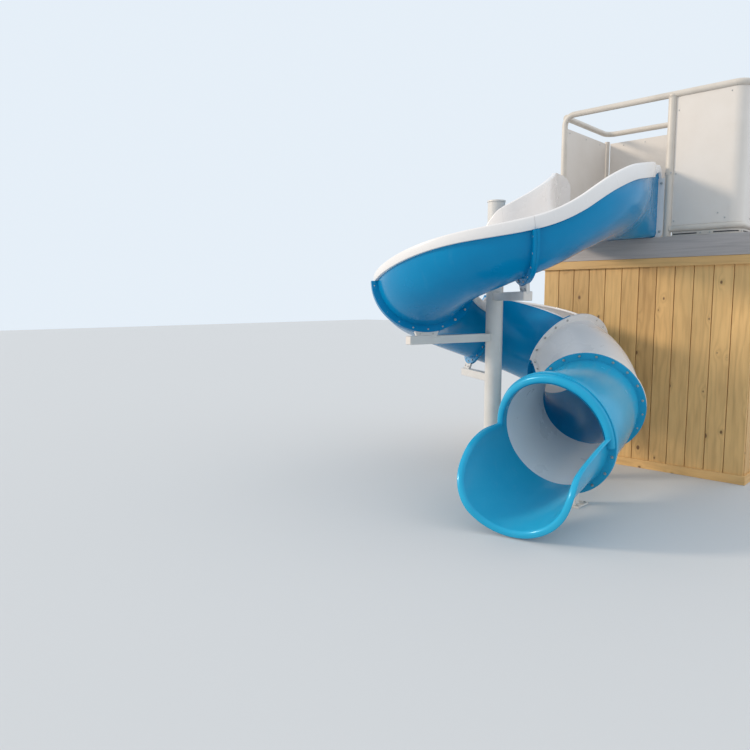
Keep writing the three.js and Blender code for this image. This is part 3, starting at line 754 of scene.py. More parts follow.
# %% Open flume sections
def wall_line(half, depth, power, top, count):
    """Half of an open section from the wall's top to the middle of the bottom: straight above
    the axis, below it |x / half|^p + |z / depth|^p = 1, cut into equal lengths."""
    angle = np.linspace(0, math.pi / 2, 240)
    reach = ((np.cos(angle) / half) ** power + (np.sin(angle) / depth) ** power) ** (-1 / power)
    line = polar(-angle, reach)
    if top > 0:
        line = np.vstack([[half, top], line])
    else:
        start = [np.interp(-top, -line[:, 1], line[:, 0]), top]
        line = np.vstack([start, line[line[:, 1] < top - 0.01]])
    run = lengths(line)
    return at_lengths(np.linspace(0, run[-1], count + 1), run, line)


LIP_POINTS = 10
MIRROR = np.array([-1.0, 1.0])


def halves(left, right):
    """One outline from two halves that meet at the bottom; the second is mirrored."""
    return np.vstack([left, right[-2::-1] * MIRROR])


def lip_lines(half, top, low):
    """The rolled lip: outer and inner line from the crown down to the wall."""
    edge = half + SHELL_T + LIP_W
    quarter = np.linspace(math.pi / 2, 0, 5)
    outer = np.vstack([
        [[half + 17, top]],
        polar(quarter, 12) + (edge - 12, top - 12),
        [[edge, low + 5], [edge - 2, low + 1], [edge - 6, low], [half + SHELL_T + 3, low]],
    ])
    inner = np.vstack([
        [[half + 13, top]],
        polar(quarter, 9) * MIRROR + (half + 9, top - 9),
        [[half, low + 6], [half, low + 4], [half, low + 2], [half, low]],
    ])
    return outer, inner


WALL_COLUMNS = 44


def entry_shape(d):
    """Half width and power of the section: wide and square at the deck, round further on."""
    half = mix(ENTRY_HALF, BORE_R, smooth(d / 760))
    return float(half), float(2.0 + 22.0 * (1 - smooth(d / 820)) ** 3)


def open_section(d):
    """Outer and inner outline of an open flume at one distance, from the left rim to the right."""
    half, power = entry_shape(d)
    sides = []
    for rim in (float(rim_out(d)), float(rim_in(d))):
        low = rim - float(lip_height(d))
        lip_o, lip_i = lip_lines(half, rim, low)
        wall_o = wall_line(half + SHELL_T, OUTER_R, power, low - 4, WALL_COLUMNS)
        wall_i = wall_line(half, BORE_R, power, low - 4, WALL_COLUMNS)
        sides.append((np.vstack([lip_o, wall_o]), np.vstack([lip_i, wall_i])))
    return [halves(*pair) for pair in zip(*sides)]


STATION_STEP = 22.0


def open_flume(d0, d1):
    """Wall of an open flume between two distances."""
    d = np.linspace(d0, d1, int((d1 - d0) / STATION_STEP) + 2)
    if d0 < 1:
        d = np.sort(np.r_[d, CORNER_RUN * np.array([0.02, 0.05, 0.1, 0.3, 0.5])])
    skins = zip(*(open_section(x) for x in d))
    return wall(*(carry(d, np.array(skin)) for skin in skins), lip=LIP_POINTS - 1)


# %% Joint flanges
def open_flange(d0, d1, bottom=FLANGE_H):
    """A U-shaped flange plate from below one lip, under the flume, to below the other."""
    rows = []
    for d in (d0, d1):
        half, power = entry_shape(d)
        sides = []
        for rim in (rim_out, rim_in):
            low = float(rim(d) - lip_height(d)) - 1.0
            sides.append([wall_line(half + SHELL_T + g, OUTER_R + b, power, low, 36)
                          for g, b in ((FLANGE_H, bottom), (-2, -2))])
        rows.append([halves(*pair) for pair in zip(*sides)])
    return wall(*(carry([d0, d1], np.array(skin)) for skin in zip(*rows)))[:2]


BOLT_OUT, BOLT_PITCH = 27.0, 105.0


def on_section(d, flat):
    """Places of flat points on one section, and the direction of travel for each."""
    return carry([d], flat[None])[0], np.repeat(stations(d)["along"], len(flat), 0)


def flange_line(d):
    """Bolt places on an open flange: equal steps along its outline, from 40 mm under one lip to
    40 mm under the other, BOLT_OUT from the shell."""
    half, power = entry_shape(d)
    line = halves(*(wall_line(half + SHELL_T + BOLT_OUT, OUTER_R + BOLT_OUT, power,
                              float(rim(d) - lip_height(d)) - 40, 60)
                    for rim in (rim_out, rim_in)))
    run = lengths(line)
    want = np.linspace(0, run[-1], int(run[-1] / BOLT_PITCH) + 1)
    return on_section(d, at_lengths(want, run, line))


bolts = Bundle()
SEAM = 0.4


def bolt_joint(places, along, reach=FLANGE_T, scale=1.0):
    """Heads on both faces of a joint, each reach away from its middle."""
    for way in (1, -1):
        add_bolts(bolts, places + along * way * reach, along * way, scale)


# %% Open flumes
STARTS = [0.2, *FLANGE_AT]
for k, name in enumerate(("entry_flume", "upper_bend_flume", "rear_bend_flume")):
    start, stop = STARTS[k:k + 2]
    shell = Bundle()
    shell.add(*open_flume(start + SEAM, stop - SEAM))
    shell.add(*open_flange(stop - FLANGE_T, stop - SEAM))
    shell.add(*open_flange(start + SEAM, start + FLANGE_T, FLANGE_H if k else 0.0),
              paint=0 if k else 1)
    shell.piece(name, [BLUE, WHITE])
for joint in FLANGE_AT[:3]:
    bolt_joint(*flange_line(joint))
at = [(ENTRY_X + side * (ENTRY_HALF + 38), ENTRY_Y - FLANGE_T, z)
      for side in (-1, 1) for z in (1902.0, 2272.0)]
add_bolts(bolts, at, [[0, -1.0, 0]] * 4)


# %% [markdown]
# ## Round shells
# Past the third joint the flume closes up: first a trough with high curled sides, then a bend
# made of a white cover bolted on a blue lower half, then a full tube.

# %% Round sections
def arc_rows(d, first, last, radius, count):
    """Flat arcs of a radius from angle first to last, in degrees, one row per distance."""
    d = np.atleast_1d(d)
    t = np.linspace(0, 1, count + 1)
    first, last = np.broadcast_to(first, len(d)), np.broadcast_to(last, len(d))
    angle = np.radians(first[:, None] + (last - first)[:, None] * t)
    return polar(angle, np.broadcast_to(radius, len(d))[:, None])


def round_wall(d, first, last, inner_r, outer_r, count, wrap=False):
    """The wall between two radii of arc_rows; wrap closes it to a full ring."""
    skins = [carry(d, arc_rows(d, first, last, radius, count)) for radius in (outer_r, inner_r)]
    return wall(*(skin[:, :-1] if wrap else skin for skin in skins), wrap)


def ring_places(d, first, last, radius, count):
    """Places and directions of bolts on an arc of a round flange."""
    return on_section(d, polar(np.radians(np.linspace(first, last, count)), radius))


def end_flanges(start, stop):
    """Distances of the two faces of the flange at each end of a moulding."""
    return np.array([[start + SEAM, start + FLANGE_T], [stop - FLANGE_T, stop - SEAM]])


def high_top(d):
    """Angle of the high sides' edge above level: 36 degrees at the start, 72 at the end."""
    t = np.clip((d - FLANGE_AT[2]) / (FLANGE_AT[3] - FLANGE_AT[2]), 0, 1)
    return mix(36.0, 72.0, t)


# %% High-sided flume
FLANGE_R = OUTER_R + FLANGE_H
EDGE_BEAD = 9.0
d = np.linspace(FLANGE_AT[2] + SEAM, FLANGE_AT[3] - SEAM, 40)
high = Bundle()
high.add(*round_wall(d, high_top(d), -180 - high_top(d), BORE_R, OUTER_R, 64))
for e in end_flanges(*FLANGE_AT[2:]):
    high.add(*round_wall(e, high_top(e), -180 - high_top(e), OUTER_R - 2, FLANGE_R, 64)[:2])
for angle in (high_top(d), -180 - high_top(d)):
    line = polar(np.radians(angle), BORE_R + SHELL_T / 2)
    add_tube(high, carry(d, line[:, None])[:, 0], EDGE_BEAD, 14, paint=1)
high.piece("rear_high_flume", [BLUE, WHITE])

# %% Closed bend
SEAM_W, SEAM_T = 34.0, 9.0
bend_d = np.linspace(FLANGE_AT[3] + SEAM, TUBE_AT - SEAM, 34)


def half_bend(name, way, finishes):
    """Half of the tube, over (way 1) or under (way -1) its middle: a level side flange on each
    edge and a ring flange at each end."""
    half = Bundle()
    a0, a1 = 0.4 * way, 179.6 * way
    half.add(*round_wall(bend_d, a0, a1, BORE_R, OUTER_R, 48))
    for e in end_flanges(FLANGE_AT[3], TUBE_AT):
        half.add(*round_wall(e, a0, a1, OUTER_R - 2, FLANGE_R, 48)[:2])
    for side in (-1, 1):
        skins = [carry(bend_d, np.broadcast_to([[x * side, 0.4 * way], [x * side, SEAM_T * way]],
                                               (len(bend_d), 2, 2)))
                 for x in (OUTER_R + SEAM_W, OUTER_R - 2)]
        half.add(*wall(*skins)[:2])
    half.piece(name, finishes)


half_bend("closed_bend_cover", 1, [WHITE, BLUE])
half_bend("closed_bend_trough", -1, [BLUE, BLUE])
f = stations(np.linspace(FLANGE_AT[3] + 60, TUBE_AT - 60, 6))
for side in (-1, 1):
    bolt_joint(f["centre"] + f["left"] * side * (OUTER_R + 19), f["up"], SEAM_T, 0.85)
bolt_joint(*ring_places(FLANGE_AT[3], 66, -246, OUTER_R + BOLT_OUT, 19))
bolt_joint(*ring_places(TUBE_AT, 8, 352, OUTER_R + BOLT_OUT, 20))


# %% Exit tube
def tube_radius(d):
    """Bore of the exit tube, widening smoothly from BORE_R to MOUTH_R."""
    return mix(BORE_R, MOUTH_R, smooth((d - TUBE_AT) / TUBE_LEN))


pipe = Bundle()
d = np.linspace(TUBE_AT + SEAM, MOUTH_AT - SEAM, 34)
pipe.add(*round_wall(d, 0, 360, tube_radius(d), tube_radius(d) + SHELL_T, 96, wrap=True))
for e in end_flanges(TUBE_AT, MOUTH_AT):
    r = tube_radius(e) + SHELL_T
    pipe.add(*round_wall(e, 0, 360, r - 2, r + FLANGE_H, 96, wrap=True)[:2])
pipe.piece("exit_tube", [BRIGHT_BLUE, LINING_WITH_PAINTED_REFLECTION])

# %% [markdown]
# ## Exit trough
# The mouth is a rolled ring. Below it the lower half of the tube runs on as an open trough whose
# rims roll outwards and drop towards the end, where a broad lip turns over the edge.

# %% Mouth ring
def rolled_ring(first, last, count, profile, wrap=False):
    """A profile of (distance past the mouth, height over the bore) carried round the mouth
    from one angle to another; its mate is the bore itself, so that the two close a solid."""
    angle = np.radians(np.linspace(first, last, count + 1))
    if wrap:
        angle = angle[:-1]
    run, rise = np.array(profile).T
    skins = [carry(MOUTH_AT + run, polar(angle, MOUTH_R + over[:, None]))
             for over in (rise, 0 * rise)]
    return wall(*skins, wrap=wrap)[:2]


RING_LEN = 46.0
BOLD_RING = [(SEAM, MOUTH_RING - 5), (2, MOUTH_RING - 1.5), (5, MOUTH_RING), (24, MOUTH_RING),
             (33, MOUTH_RING - 2.5), (40, MOUTH_RING - 8), (44.5, MOUTH_RING - 16),
             (RING_LEN, MOUTH_RING - 26), (45.5, 16), (43, 8), (39, 2.5), (33, 0.2)]
THIN_RING = [(SEAM, FLANGE_H + SHELL_T), (FLANGE_T - 1.5, FLANGE_H + SHELL_T),
             (FLANGE_T, FLANGE_H + SHELL_T - 1.5), (FLANGE_T, SHELL_T + 2), (20, SHELL_T)]
trough = Bundle()
trough.add(*rolled_ring(-4, 184, 72, BOLD_RING))
trough.add(*rolled_ring(0, 360, 120, THIN_RING, wrap=True))

# %% [markdown]
# The trough's edge is one line on the developed surface: down the right rim, round the corner,
# along the end and back up the left rim. A rolled lip is carried along that line, square to it.

# %% Trough edge
CORNER = 0.24
LIP_INSET = 22.0
RIM_RIGHT = curve([(0, 6), (0.4, 4.5), (0.72, 3.5), (1, 0)])
RIM_LEFT = curve([(0, 6), (0.35, 11), (0.6, 8), (0.82, -5), (1, -16)])
DROP_RIGHT, DROP_LEFT = 26.0, 30.0
RUN_START, RUN_LEN = MOUTH_AT + 14, TROUGH_LEN - 14
PHI = np.radians(np.linspace(0, 90, 17)[1:])


def trough_d(t):
    """Distance along the path at a share t of the trough."""
    return RUN_START + RUN_LEN * t


def trough_radius(t):
    """Bore of the trough, from MOUTH_R straight to END_R."""
    return mix(MOUTH_R, END_R, np.clip(t, 0, 1))


def on_trough(t, angle, over=0.0):
    """Points of the trough at a share t of its length, an angle of the section in degrees and
    a height over (away from the axis)."""
    f = stations(trough_d(t))
    a = np.radians(angle)[:, None]
    radial = np.cos(a) * f["left"] + np.sin(a) * f["up"]
    return f["centre"] + (trough_radius(t) + over)[:, None] * radial, radial


def rim_branch(line, drop):
    """Share and angle along one rim: straight part first, then the rounded corner, where
    t = 1 - CORNER (1 - sin phi) and the angle falls by drop (1 - cos phi)."""
    t = np.r_[np.linspace(0, 1 - CORNER, 22), 1 - CORNER * (1 - np.sin(PHI))]
    return t, line(t) - np.r_[np.zeros(22), drop * (1 - np.cos(PHI))]


t_right, a_right = rim_branch(RIM_RIGHT, DROP_RIGHT)
t_left, a_left = rim_branch(RIM_LEFT, DROP_LEFT)
end_angle = np.linspace(a_right[-1], -180 - a_left[-1], 44)[1:-1]
edge_t = np.r_[t_right, np.ones(len(end_angle)), t_left[::-1]]
edge_a = np.r_[a_right, end_angle, -180 - a_left[::-1]]
edge, radial = on_trough(edge_t, edge_a)
tangent = unit(np.gradient(edge, axis=0))
across = np.cross(radial, tangent)
across *= np.sign(across[len(edge) // 2] @ stations(END_AT)["along"][0])

# %% Rolled lip and trough wall
# The lip's profile: distance across the edge (0 at the edge, negative inside) and height away
# from the axis.
LIP_PROFILE = np.array([
    (-27, 1.2), (-22, 0.35), (-17, 1.0), (-12, 2.9), (-7.5, 6.2), (-4, 10.8), (-1.4, 16.5),
    (-0.2, 23), (0, 33), (-0.8, 38), (-3.4, 41.4), (-7, 42), (-10, 40), (-11.2, 36), (-11.2, 26),
    (-12.8, 19.5), (-16.5, 14.6), (-21.5, 12.2), (-27, 11.6)])
rings = (edge[:, None] + across[:, None] * LIP_PROFILE[None, :, :1]
         + radial[:, None] * LIP_PROFILE[None, :, 1:])
sides = len(LIP_PROFILE)
lip_points = np.vstack([rings.reshape(-1, 3), rings[0].mean(0), rings[-1].mean(0)])
turned = np.cross(rings[1, 0] - rings[0, 0], rings[0, 1] - rings[0, 0]) @ radial[0] > 0
lip_faces = ring_faces(len(rings), sides)
trough.add(lip_points, lip_faces if turned else lip_faces[:, ::-1])

f = stations(trough_d(edge_t))
tangential = (-np.sin(np.radians(edge_a))[:, None] * f["left"]
              + np.cos(np.radians(edge_a))[:, None] * f["up"])
inset_t = edge_t - LIP_INSET * (across * f["along"]).sum(1) / RUN_LEN
inset_a = edge_a - np.degrees(LIP_INSET * (across * tangential).sum(1) / trough_radius(edge_t))
last = 1 - LIP_INSET / RUN_LEN
rows = np.r_[np.linspace(0, 1 - CORNER, 24), last - (last - 1 + CORNER) * (1 - np.sin(PHI))]
n = len(t_right)
right = np.interp(rows, inset_t[:n], inset_a[:n])
left = np.interp(rows, inset_t[::-1][:n], inset_a[::-1][:n])
columns = mix(right[:, None], left[:, None], np.linspace(0, 1, 65))
skins = [on_trough(np.repeat(rows, 65), columns.ravel(), over)[0].reshape(len(rows), 65, 3)
         for over in (SHELL_T, 0.0)]
trough.add(*wall(*skins)[:2])
trough.piece("exit_trough", [BRIGHT_BLUE], sharp=42)
bolt_joint(*ring_places(MOUTH_AT, -14, -166, MOUTH_R + SHELL_T + BOLT_OUT, 9))

# %% [markdown]
# ## Post, arms and saddles
# One round steel post carries the spiral. Square arms stick out under the joints, and a plate
# stands on each arm and cradles the flange.

# %% Post and arms
POST_R, POST_TOP = 64.0, 2095.0
PLATE_HALF, PLATE_T, POST_SIDES = 150, 16, 72
post = Bundle()
for profile in ([(PLATE_T + 0.2, POST_R), (POST_TOP, POST_R)],
                [(PLATE_T + 0.2, POST_R + 8), (PLATE_T + 8, POST_R + 0.5)]):
    add_turned(post, profile, sides=POST_SIDES)
post.piece("center_post", [POST])
cap = Bundle()
add_turned(cap, [(POST_TOP + z, POST_R + r) for z, r in
                 ((0.2, 5), (8, 5), (11, 3.5), (13, -3), (14, -30))], sides=POST_SIDES)
cap.piece("post_cap", [POST])


def plain_piece(name, part, finish, bevel):
    """A piece made of one part."""
    bundle = Bundle()
    bundle.add(*part)
    bundle.piece(name, [finish], bevel=bevel)


def plate_bolts(x, y, z, reach, scale):
    """Four bolts on a square foot plate."""
    places = [(x + a, y + b, z) for a in (-reach, reach) for b in (-reach, reach)]
    add_bolts(bolts, places, [[0, 0, 1.0]] * 4, scale)


plate = box((-PLATE_HALF, -PLATE_HALF, 0), (PLATE_HALF, PLATE_HALF, PLATE_T))
plain_piece("post_base_plate", plate, POST, 1.5)
plate_bolts(0, 0, PLATE_T, 118, 1.5)


# %% Arms and saddles
ARM, SADDLE_T, BEAD_R = 60.0, 18.0, 4.5


def weld_bead(half, low, high):
    """A rounded bead where a square tube meets the round post: its line lies on the post, at
    x = sqrt(R^2 - y^2)."""
    loop = rounded([(0, 0, low), (0, half, low), (0, half, high), (0, -half, high),
                    (0, -half, low), (0, 0.5, low)], 7, 5)
    loop[:, 0] = np.sqrt(POST_R**2 - loop[:, 1] ** 2) + 1.0
    return tube(loop, BEAD_R, 10)[:2]


def support(name, turn, drop, over):
    """Square arm from the post to beyond a joint, closed by a plug, and the plate on it that
    cradles the joint's flange. The arm's top is drop below the flange; it ends over past it."""
    d = at_turn(turn)
    f = stations(d)
    tip = (f["centre"] - f["up"] * (FLANGE_R + drop))[0]
    reach, top = math.hypot(tip[0], tip[1]) + over, tip[2]
    c, s = tip[:2] / math.hypot(tip[0], tip[1])
    swing = np.array([[c, s, 0], [-s, c, 0], [0, 0, 1.0]])
    half = ARM / 2
    arm = Bundle()
    bar = box((POST_R - 7, -half, top - ARM), (reach - 3, half, top))
    plug = box((reach - 12, 1.5 - half, top - ARM + 1.5), (reach, half - 1.5, top - 1.5))
    bead = weld_bead(half + 1, top - ARM - 1, top + 1)
    for (points, faces), paint in ((bar, 0), (plug, 1), (bead, 0)):
        arm.add(points @ swing, faces, paint)
    arm.piece(f"support_arm_{name}", [POST, SHEET], bevel=4.0)
    cradle = polar(np.radians(np.linspace(-103, -77, 17)), FLANGE_R + 0.3)
    sole = np.column_stack([np.linspace(-70, 70, 17), np.full(17, -FLANGE_R - drop - 16)])
    ends = np.array([d - SADDLE_T / 2, d + SADDLE_T / 2])
    plate = wall(*(carry(ends, np.stack([line, line])) for line in (sole, cradle)))[:2]
    plain_piece(f"saddle_{name}", plate, POST, 1.5)
    for side in (-46.0, 46.0):
        at = f["centre"] + f["left"] * side - f["up"] * (FLANGE_R + drop / 2 + 3)
        bolt_joint(at, f["along"], SADDLE_T / 2, 0.85)


for place_of in (("upper", 52, 40, 70), ("left", 130, 22, 160), ("rear", 222, 40, 60),
                 ("lower", 290, 40, 60)):
    support(*place_of)

# %% Exit leg
LEG_AT, LEG_HALF, FOOT_HALF = TUBE_AT + 330, 30, 75
f = stations(LEG_AT)
leg_at = f["centre"][0]
leg_top = leg_at[2] - (tube_radius(LEG_AT) + SHELL_T) / f["up"][0, 2]


def about_leg(half, low, high):
    """A box round the leg's middle."""
    return box((*(leg_at[:2] - half), low), (*(leg_at[:2] + half), high))


plain_piece("exit_leg", about_leg(LEG_HALF, 10.3, leg_top + 5), POST, 4.0)
shoe = Bundle()
shoe.add(*about_leg(FOOT_HALF, 0, 10))
shoe.add(*about_leg(LEG_HALF + 3, 9, 14))
shoe.piece("exit_leg_foot", [POST], bevel=1.5)
plate_bolts(*leg_at[:2], 10.0, 56, 1.1)

# %% [markdown]
# ## Tower
# Walls are single boards with a narrow open joint between them. Each board is its own box with
# softened edges, a tone of its own and its own piece of grain; a thin backing closes the joints.

# %% Boards
TX0, TX1, TY0, TY1 = -178.0, 1505.0, 1072.0, 2052.0
DECK_TOP, DECK_T, WALL_T = 1856.0, 38.0, 25.0
FASCIA_Z0, CAP_Z0, SKIRT_H = 1698.0, 1630.0, 68.0
FASCIA_T, CAP_T, SKIRT_T = 30.0, 26.0, 18.0
JOINT = 5.0
rng = np.random.default_rng(11)


def add_board(bundle, low, high, grain):
    """A board from one corner to the other, with a random tone and place in the grain."""
    offset = rng.uniform(0, 40, 2)
    bundle.add(*box(low, high), tone=float(rng.uniform(0, 1)), grain=grain, offset=offset)


def board_wall(name, start, stop, across, face, inward, count):
    """Upright boards from start to stop along the axis across; the outer face lies at face."""
    boards = Bundle()
    edges = np.linspace(start, stop, count + 1)
    depth = sorted((face, face + inward * 18))
    back = sorted((face + inward * 17, face + inward * WALL_T))
    top = DECK_TOP - DECK_T - 0.2
    for left, right in zip(edges[:-1], edges[1:]):
        low, high = [0.0, 0.0, 0.0], [0.0, 0.0, top]
        low[across], high[across] = left + JOINT / 2, right - JOINT / 2
        low[1 - across], high[1 - across] = depth
        add_board(boards, low, high, 2)
    low, high = [0.0, 0.0, 0.5], [0.0, 0.0, top]
    low[across], high[across] = start + 4, stop - 4
    low[1 - across], high[1 - across] = back
    boards.add(*box(low, high), tone=1.0, grain=2)
    boards.piece(name, [PINE], bevel=2.0)


board_wall("wall_front", TX0, TX1, 0, TY0, 1, 12)
board_wall("wall_back", TX0, TX1, 0, TY1, -1, 12)
board_wall("wall_left", TY0 + WALL_T + 0.2, TY1 - WALL_T - 0.2, 1, TX0, 1, 7)
board_wall("wall_right", TY0 + WALL_T + 0.2, TY1 - WALL_T - 0.2, 1, TX1, -1, 7)


# %% Trim, fascia and deck
def band(prefix, low, high, thick, finish):
    """Four boards round the tower at one height."""
    sides = {
        "front": ((TX0 - thick, TY0 - thick, low), (TX1 + thick, TY0 - 0.3, high), 0),
        "back": ((TX0 - thick, TY1 + 0.3, low), (TX1 + thick, TY1 + thick, high), 0),
        "left": ((TX0 - thick, TY0, low), (TX0 - 0.3, TY1, high), 1),
        "right": ((TX1 + 0.3, TY0, low), (TX1 + thick, TY1, high), 1),
    }
    for side, (a, b, grain) in sides.items():
        plank = Bundle()
        add_board(plank, a, b, grain)
        plank.piece(f"{prefix}_{side}", [finish], bevel=2.5)


band("fascia", FASCIA_Z0 + 0.2, DECK_TOP, FASCIA_T, COMPOSITE)
band("cap_board", CAP_Z0, FASCIA_Z0 - 0.2, CAP_T, TRIM_PINE)
band("skirting", 0.0, SKIRT_H, SKIRT_T, TRIM_PINE)

deck = Bundle()
rows = np.linspace(TY0, TY1, 8)
for y0, y1 in zip(rows[:-1], rows[1:]):
    add_board(deck, (TX0, y0 + 2.5, DECK_TOP - 24), (TX1, y1 - 2.5, DECK_TOP), 0)
deck.add(*box((TX0 + 1, TY0 + 1, DECK_TOP - DECK_T), (TX1 - 1, TY1 - 1, DECK_TOP - 23)),
         tone=1.0, grain=0)
deck.piece("deck_floor", [COMPOSITE], bevel=2.0)

# %% [markdown]
# ## Guard rails
# Bent tube, welded where tubes meet, standing on round foot plates. Sheet panels
# stand between the tubes, held by small screws, and a slotted toe track closes the gap below.

# %% Rails
RAIL_R, RAIL_TOP, RAIL_BEND = 24.0, 2957.0, 85.0
MID_POST_R, FOOT_R, LOW_RAIL_Z, PANEL_T = 30.0, 36.0, 1920.0, 5.0
BAND_Z = 2345.0
GX0, GXM, GX1, GY0, GY1, ACCESS_X = -40.0, 855.0, 1375.0, 1102.0, 1945.0, 620.0
rail_z = RAIL_TOP - RAIL_R
back_z = rail_z - 12
foot = DECK_TOP + 0.2


def foot_plate(bundle, x, y, radius):
    """The round plate a post stands on, and the weld round the post."""
    add_turned(bundle, [(foot, FOOT_R), (foot + 6, FOOT_R), (foot + 8, FOOT_R - 2)], x, y)
    add_turned(bundle, [(foot + 7, min(radius + 5, FOOT_R - 2)), (foot + 13, radius + 0.4)], x, y)


def weld(bundle, at, direction, radius=RAIL_R):
    """A short flared collar where a tube meets another one."""
    at, direction = np.asarray(at, float), np.asarray(direction, float)
    run = np.array([14, 17, 20, 24, 28.0])
    add_tube(bundle, at + direction * run[:, None], radius + np.array([6, 4.2, 2.6, 1.2, 0.2]), 28)


front = Bundle()
add_tube(front, rounded([(GX0, GY0, foot), (GX0, GY0, rail_z), (GX1, GY0, rail_z),
                         (GX1, GY1, rail_z), (GX1, GY1, foot)], RAIL_BEND), RAIL_R)
add_tube(front, [(GXM, GY0, foot), (GXM, GY0, rail_z)], MID_POST_R)
add_tube(front, rounded([(GXM, GY0, LOW_RAIL_Z), (GX1, GY0, LOW_RAIL_Z), (GX1, GY1, LOW_RAIL_Z)],
                        RAIL_BEND), RAIL_R)
weld(front, (GXM, GY0, rail_z), (0, 0, -1), MID_POST_R)
weld(front, (GXM + 12, GY0, LOW_RAIL_Z), (1, 0, 0))
weld(front, (GX1, GY1, LOW_RAIL_Z), (0, -1, 0))
add_turned(front, [(BAND_Z + z, MID_POST_R + r) for z, r in
                   ((-15, 0), (-13.5, 2.5), (13.5, 2.5), (15, 0))], GXM, GY0)
for x, y, radius in ((GX0, GY0, RAIL_R), (GX1, GY1, RAIL_R), (GXM, GY0, MID_POST_R)):
    foot_plate(front, x, y, radius)
front.piece("guard_rail_front", [RAIL_PAINT_AND_WARM_REFLECTION])
clamp = np.column_stack([polar(np.radians([-128.0, -52.0]), 1), [0, 0]])
add_bolts(bolts, (GXM, GY0, BAND_Z) + 32 * clamp, clamp, 0.8)

back = Bundle()
add_tube(back, rounded([(GX0, GY0 + RAIL_R - 2, back_z), (GX0, GY1, back_z),
                        (ACCESS_X, GY1, back_z), (ACCESS_X, GY1, foot)], RAIL_BEND), RAIL_R)
add_tube(back, [(GX0, GY1, foot), (GX0, GY1, back_z - RAIL_BEND + 20)], RAIL_R)
add_tube(back, [(GX0, GY0 + RAIL_R - 2, LOW_RAIL_Z), (GX0, GY1, LOW_RAIL_Z)], RAIL_R)
add_tube(back, [(GX0, GY1, LOW_RAIL_Z), (ACCESS_X, GY1, LOW_RAIL_Z)], RAIL_R)
for x, y, z, way in ((GX0, GY0 + 10, LOW_RAIL_Z, (0, 1, 0)), (GX0, GY0 + 10, back_z, (0, 1, 0)),
                     (GX0, GY1, LOW_RAIL_Z, (0, -1, 0)), (GX0, GY1, LOW_RAIL_Z, (1, 0, 0)),
                     (ACCESS_X, GY1, LOW_RAIL_Z, (-1, 0, 0))):
    weld(back, (x, y, z), way)
for x, y in ((GX0, GY1), (ACCESS_X, GY1)):
    foot_plate(back, x, y, RAIL_R)
back.piece("guard_rail_back", [RAIL_PAINT_AND_WARM_REFLECTION])


# %% Panels
def sheet(line, z0, z1, thick):
    """A thin upright sheet that follows a line in plan; z1 may differ from point to point."""
    line = np.asarray(line, float)[:, :2]
    along = np.gradient(line, axis=0)
    side = unit(np.stack([-along[:, 1], along[:, 0]], -1)) * thick / 2
    ends = [np.broadcast_to(z, len(line)) for z in (z0, z1)]
    return wall(*(np.stack([np.column_stack([edge, z]) for z in ends], 1)
                  for edge in (line + side, line - side)))[:2]


def rounded_top(line, axis, bend_at, top, radius):
    """Top edge of a sheet whose last corner follows a rail's bend: past bend_at it falls along
    a circle, z = top - r + sqrt(r^2 - s^2). Adds points where the circle needs them."""
    stop = line[-1, axis]
    run = radius * np.sin(np.linspace(0, math.pi / 2, 16)[1:-1])
    extra = np.tile(line[-1], (len(run), 1))
    extra[:, axis] = bend_at + run
    extra = extra[extra[:, axis] < stop - 1]
    line = np.vstack([line[:-1], extra, line[-1:]])
    past = np.clip(line[:, axis] - bend_at, 0, radius - 0.5)
    past[: len(line) - len(extra) - 1] = 0
    return line, top - radius + np.sqrt(radius**2 - past**2)


line, top = rounded_top(
    rounded([(GXM + MID_POST_R + 2, GY0, 0), (GX1, GY0, 0), (GX1, GY1 - RAIL_R - 8, 0)],
            RAIL_BEND, 14), 1, GY1 - RAIL_BEND, rail_z - RAIL_R - 0.3, RAIL_BEND - RAIL_R - 3)
panel_low, side_top = LOW_RAIL_Z + RAIL_R + 0.3, back_z - RAIL_R - 60
panels = {
    "panel_front_right": (line, top),
    "panel_left": ([(GX0, GY0 + 32), (GX0, GY1 - 32)], side_top),
    "panel_back": ([(GX0 + 32, GY1), (ACCESS_X - 32, GY1)], side_top),
}
for name, (line, top) in panels.items():
    plain_piece(name, sheet(line, panel_low, top, PANEL_T), SHEET, 0.8)

# Screws as seen on the front sheet, then pairs along the edges of the other two.
screws = [(904, z) for z in (1978, 2336, 2808)] + [(1219, 2015), (1269, 1977), (1271, 2880)]
screws = [(x, GY0 - 2.5, z, 0, -1) for x, z in screws]
for x, rows, heights in ((GX1, (1330, 1620, 1890), (1978, 2820)),
                         (GX0, (1190, 1500, 1780), (1976, 2806))):
    screws += [(x + 2.5, y, z, 1, 0) for y in rows for z in heights]
screws += [(x, GY1 - 2.5, z, 0, -1) for x in (120, 320, 540) for z in (1976, 2806)]
for *at, nx, ny in screws:
    add_bolts(bolts, [at], [(nx, ny, 0.0)], 0.62)

# %% Toe track
# An upper and a lower flat bar leave a slot between them, in front of a near-black strip
# that is painted shadow in the slot; short bridges close it where the track is bolted down.
TRACK_TOP = LOW_RAIL_Z - RAIL_R - 0.3
SLOT_Z, SLOT_H = 1877.0, 9.0
BRIDGE_STEP, WIDE_BRIDGE = 508, 90
track_line = rounded([(GXM + FOOT_R + 4, GY0, 0), (GX1, GY0, 0), (GX1, GY1 - 44, 0)],
                     RAIL_BEND, 14)[:, :2]
run = lengths(track_line)
TRACK_END = run[-1]


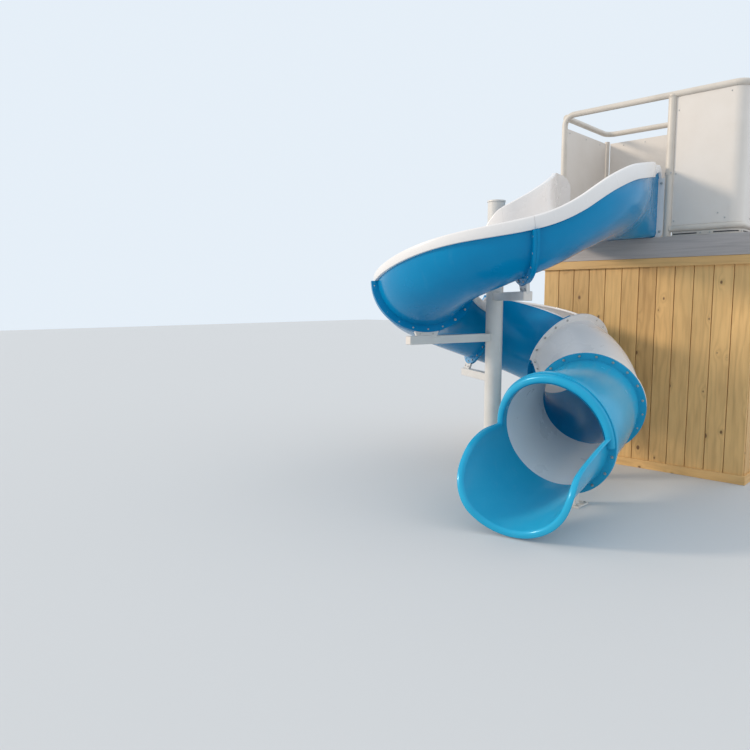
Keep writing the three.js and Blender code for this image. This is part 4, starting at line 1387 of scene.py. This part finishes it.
def track_part(start, stop, z0, z1, shift, thick):
    """A strip of the toe track between two distances along it, shifted outwards."""
    at = np.r_[start, run[(run > start) & (run < stop)], stop]
    points = at_lengths(at, run, track_line)
    along = unit(np.gradient(points, axis=0))
    points = points + np.stack([along[:, 1], -along[:, 0]], -1) * shift
    return sheet(points, z0, z1, thick)


track = Bundle()
# The near-black strip behind the slot is painted shadow.
track.add(*track_part(0, TRACK_END, foot, TRACK_TOP, -2.5, 6), paint=1)
for z0, z1 in ((foot, SLOT_Z - SLOT_H / 2), (SLOT_Z + SLOT_H / 2, TRACK_TOP)):
    track.add(*track_part(0, TRACK_END, z0, z1, 3, 5))
bridges, at = [(0.0, 8.0)], 8.0
while at < TRACK_END:
    bridges += [(at + 176, at + 292), (at + 468, at + BRIDGE_STEP)]
    at += BRIDGE_STEP
for start, stop in [(a, min(b, TRACK_END)) for a, b in bridges if a < TRACK_END]:
    track.add(*track_part(start, stop, SLOT_Z - 5, SLOT_Z + 5, 3.1, 5.2))
    if stop - start > WIDE_BRIDGE:
        track.add(*track_part(start + 8, stop - 6, SLOT_Z - 14, SLOT_Z + 14, 6.3, 2))
track.piece("kick_track_front", [RAIL_PAINT_AND_WARM_REFLECTION, SHADOW], bevel=0.8)
for start, stop in bridges[1:]:
    wide = stop - start > WIDE_BRIDGE
    for spot in [start + 28, stop - 22] if wide else [(start + stop) / 2]:
        if spot < TRACK_END - 10:
            before, centre = at_lengths([spot - 2, spot], run, track_line)
            way = unit(centre - before)
            normal = np.array([way[1], -way[0], 0.0])
            lift = 7.3 if wide else 5.7
            add_bolts(bolts, [np.r_[centre, SLOT_Z] + normal * lift], [normal], 0.7)

bolts.piece("joint_bolts", [STAINLESS], solid=False)

# %% Floor
floor_mesh = bpy.data.meshes.new("floor")
corners = [(-30, -30, 0), (30, -30, 0), (30, 30, 0), (-30, 30, 0)]
floor_mesh.from_pydata(corners, [], [(0, 1, 2, 3)])
floor = place("floor", floor_mesh)
ground = Finish("pale_floor", roughness=0.8)
floor_mesh.materials.append(ground.finished(Base_Color=(0.62, 0.62, 0.62)))
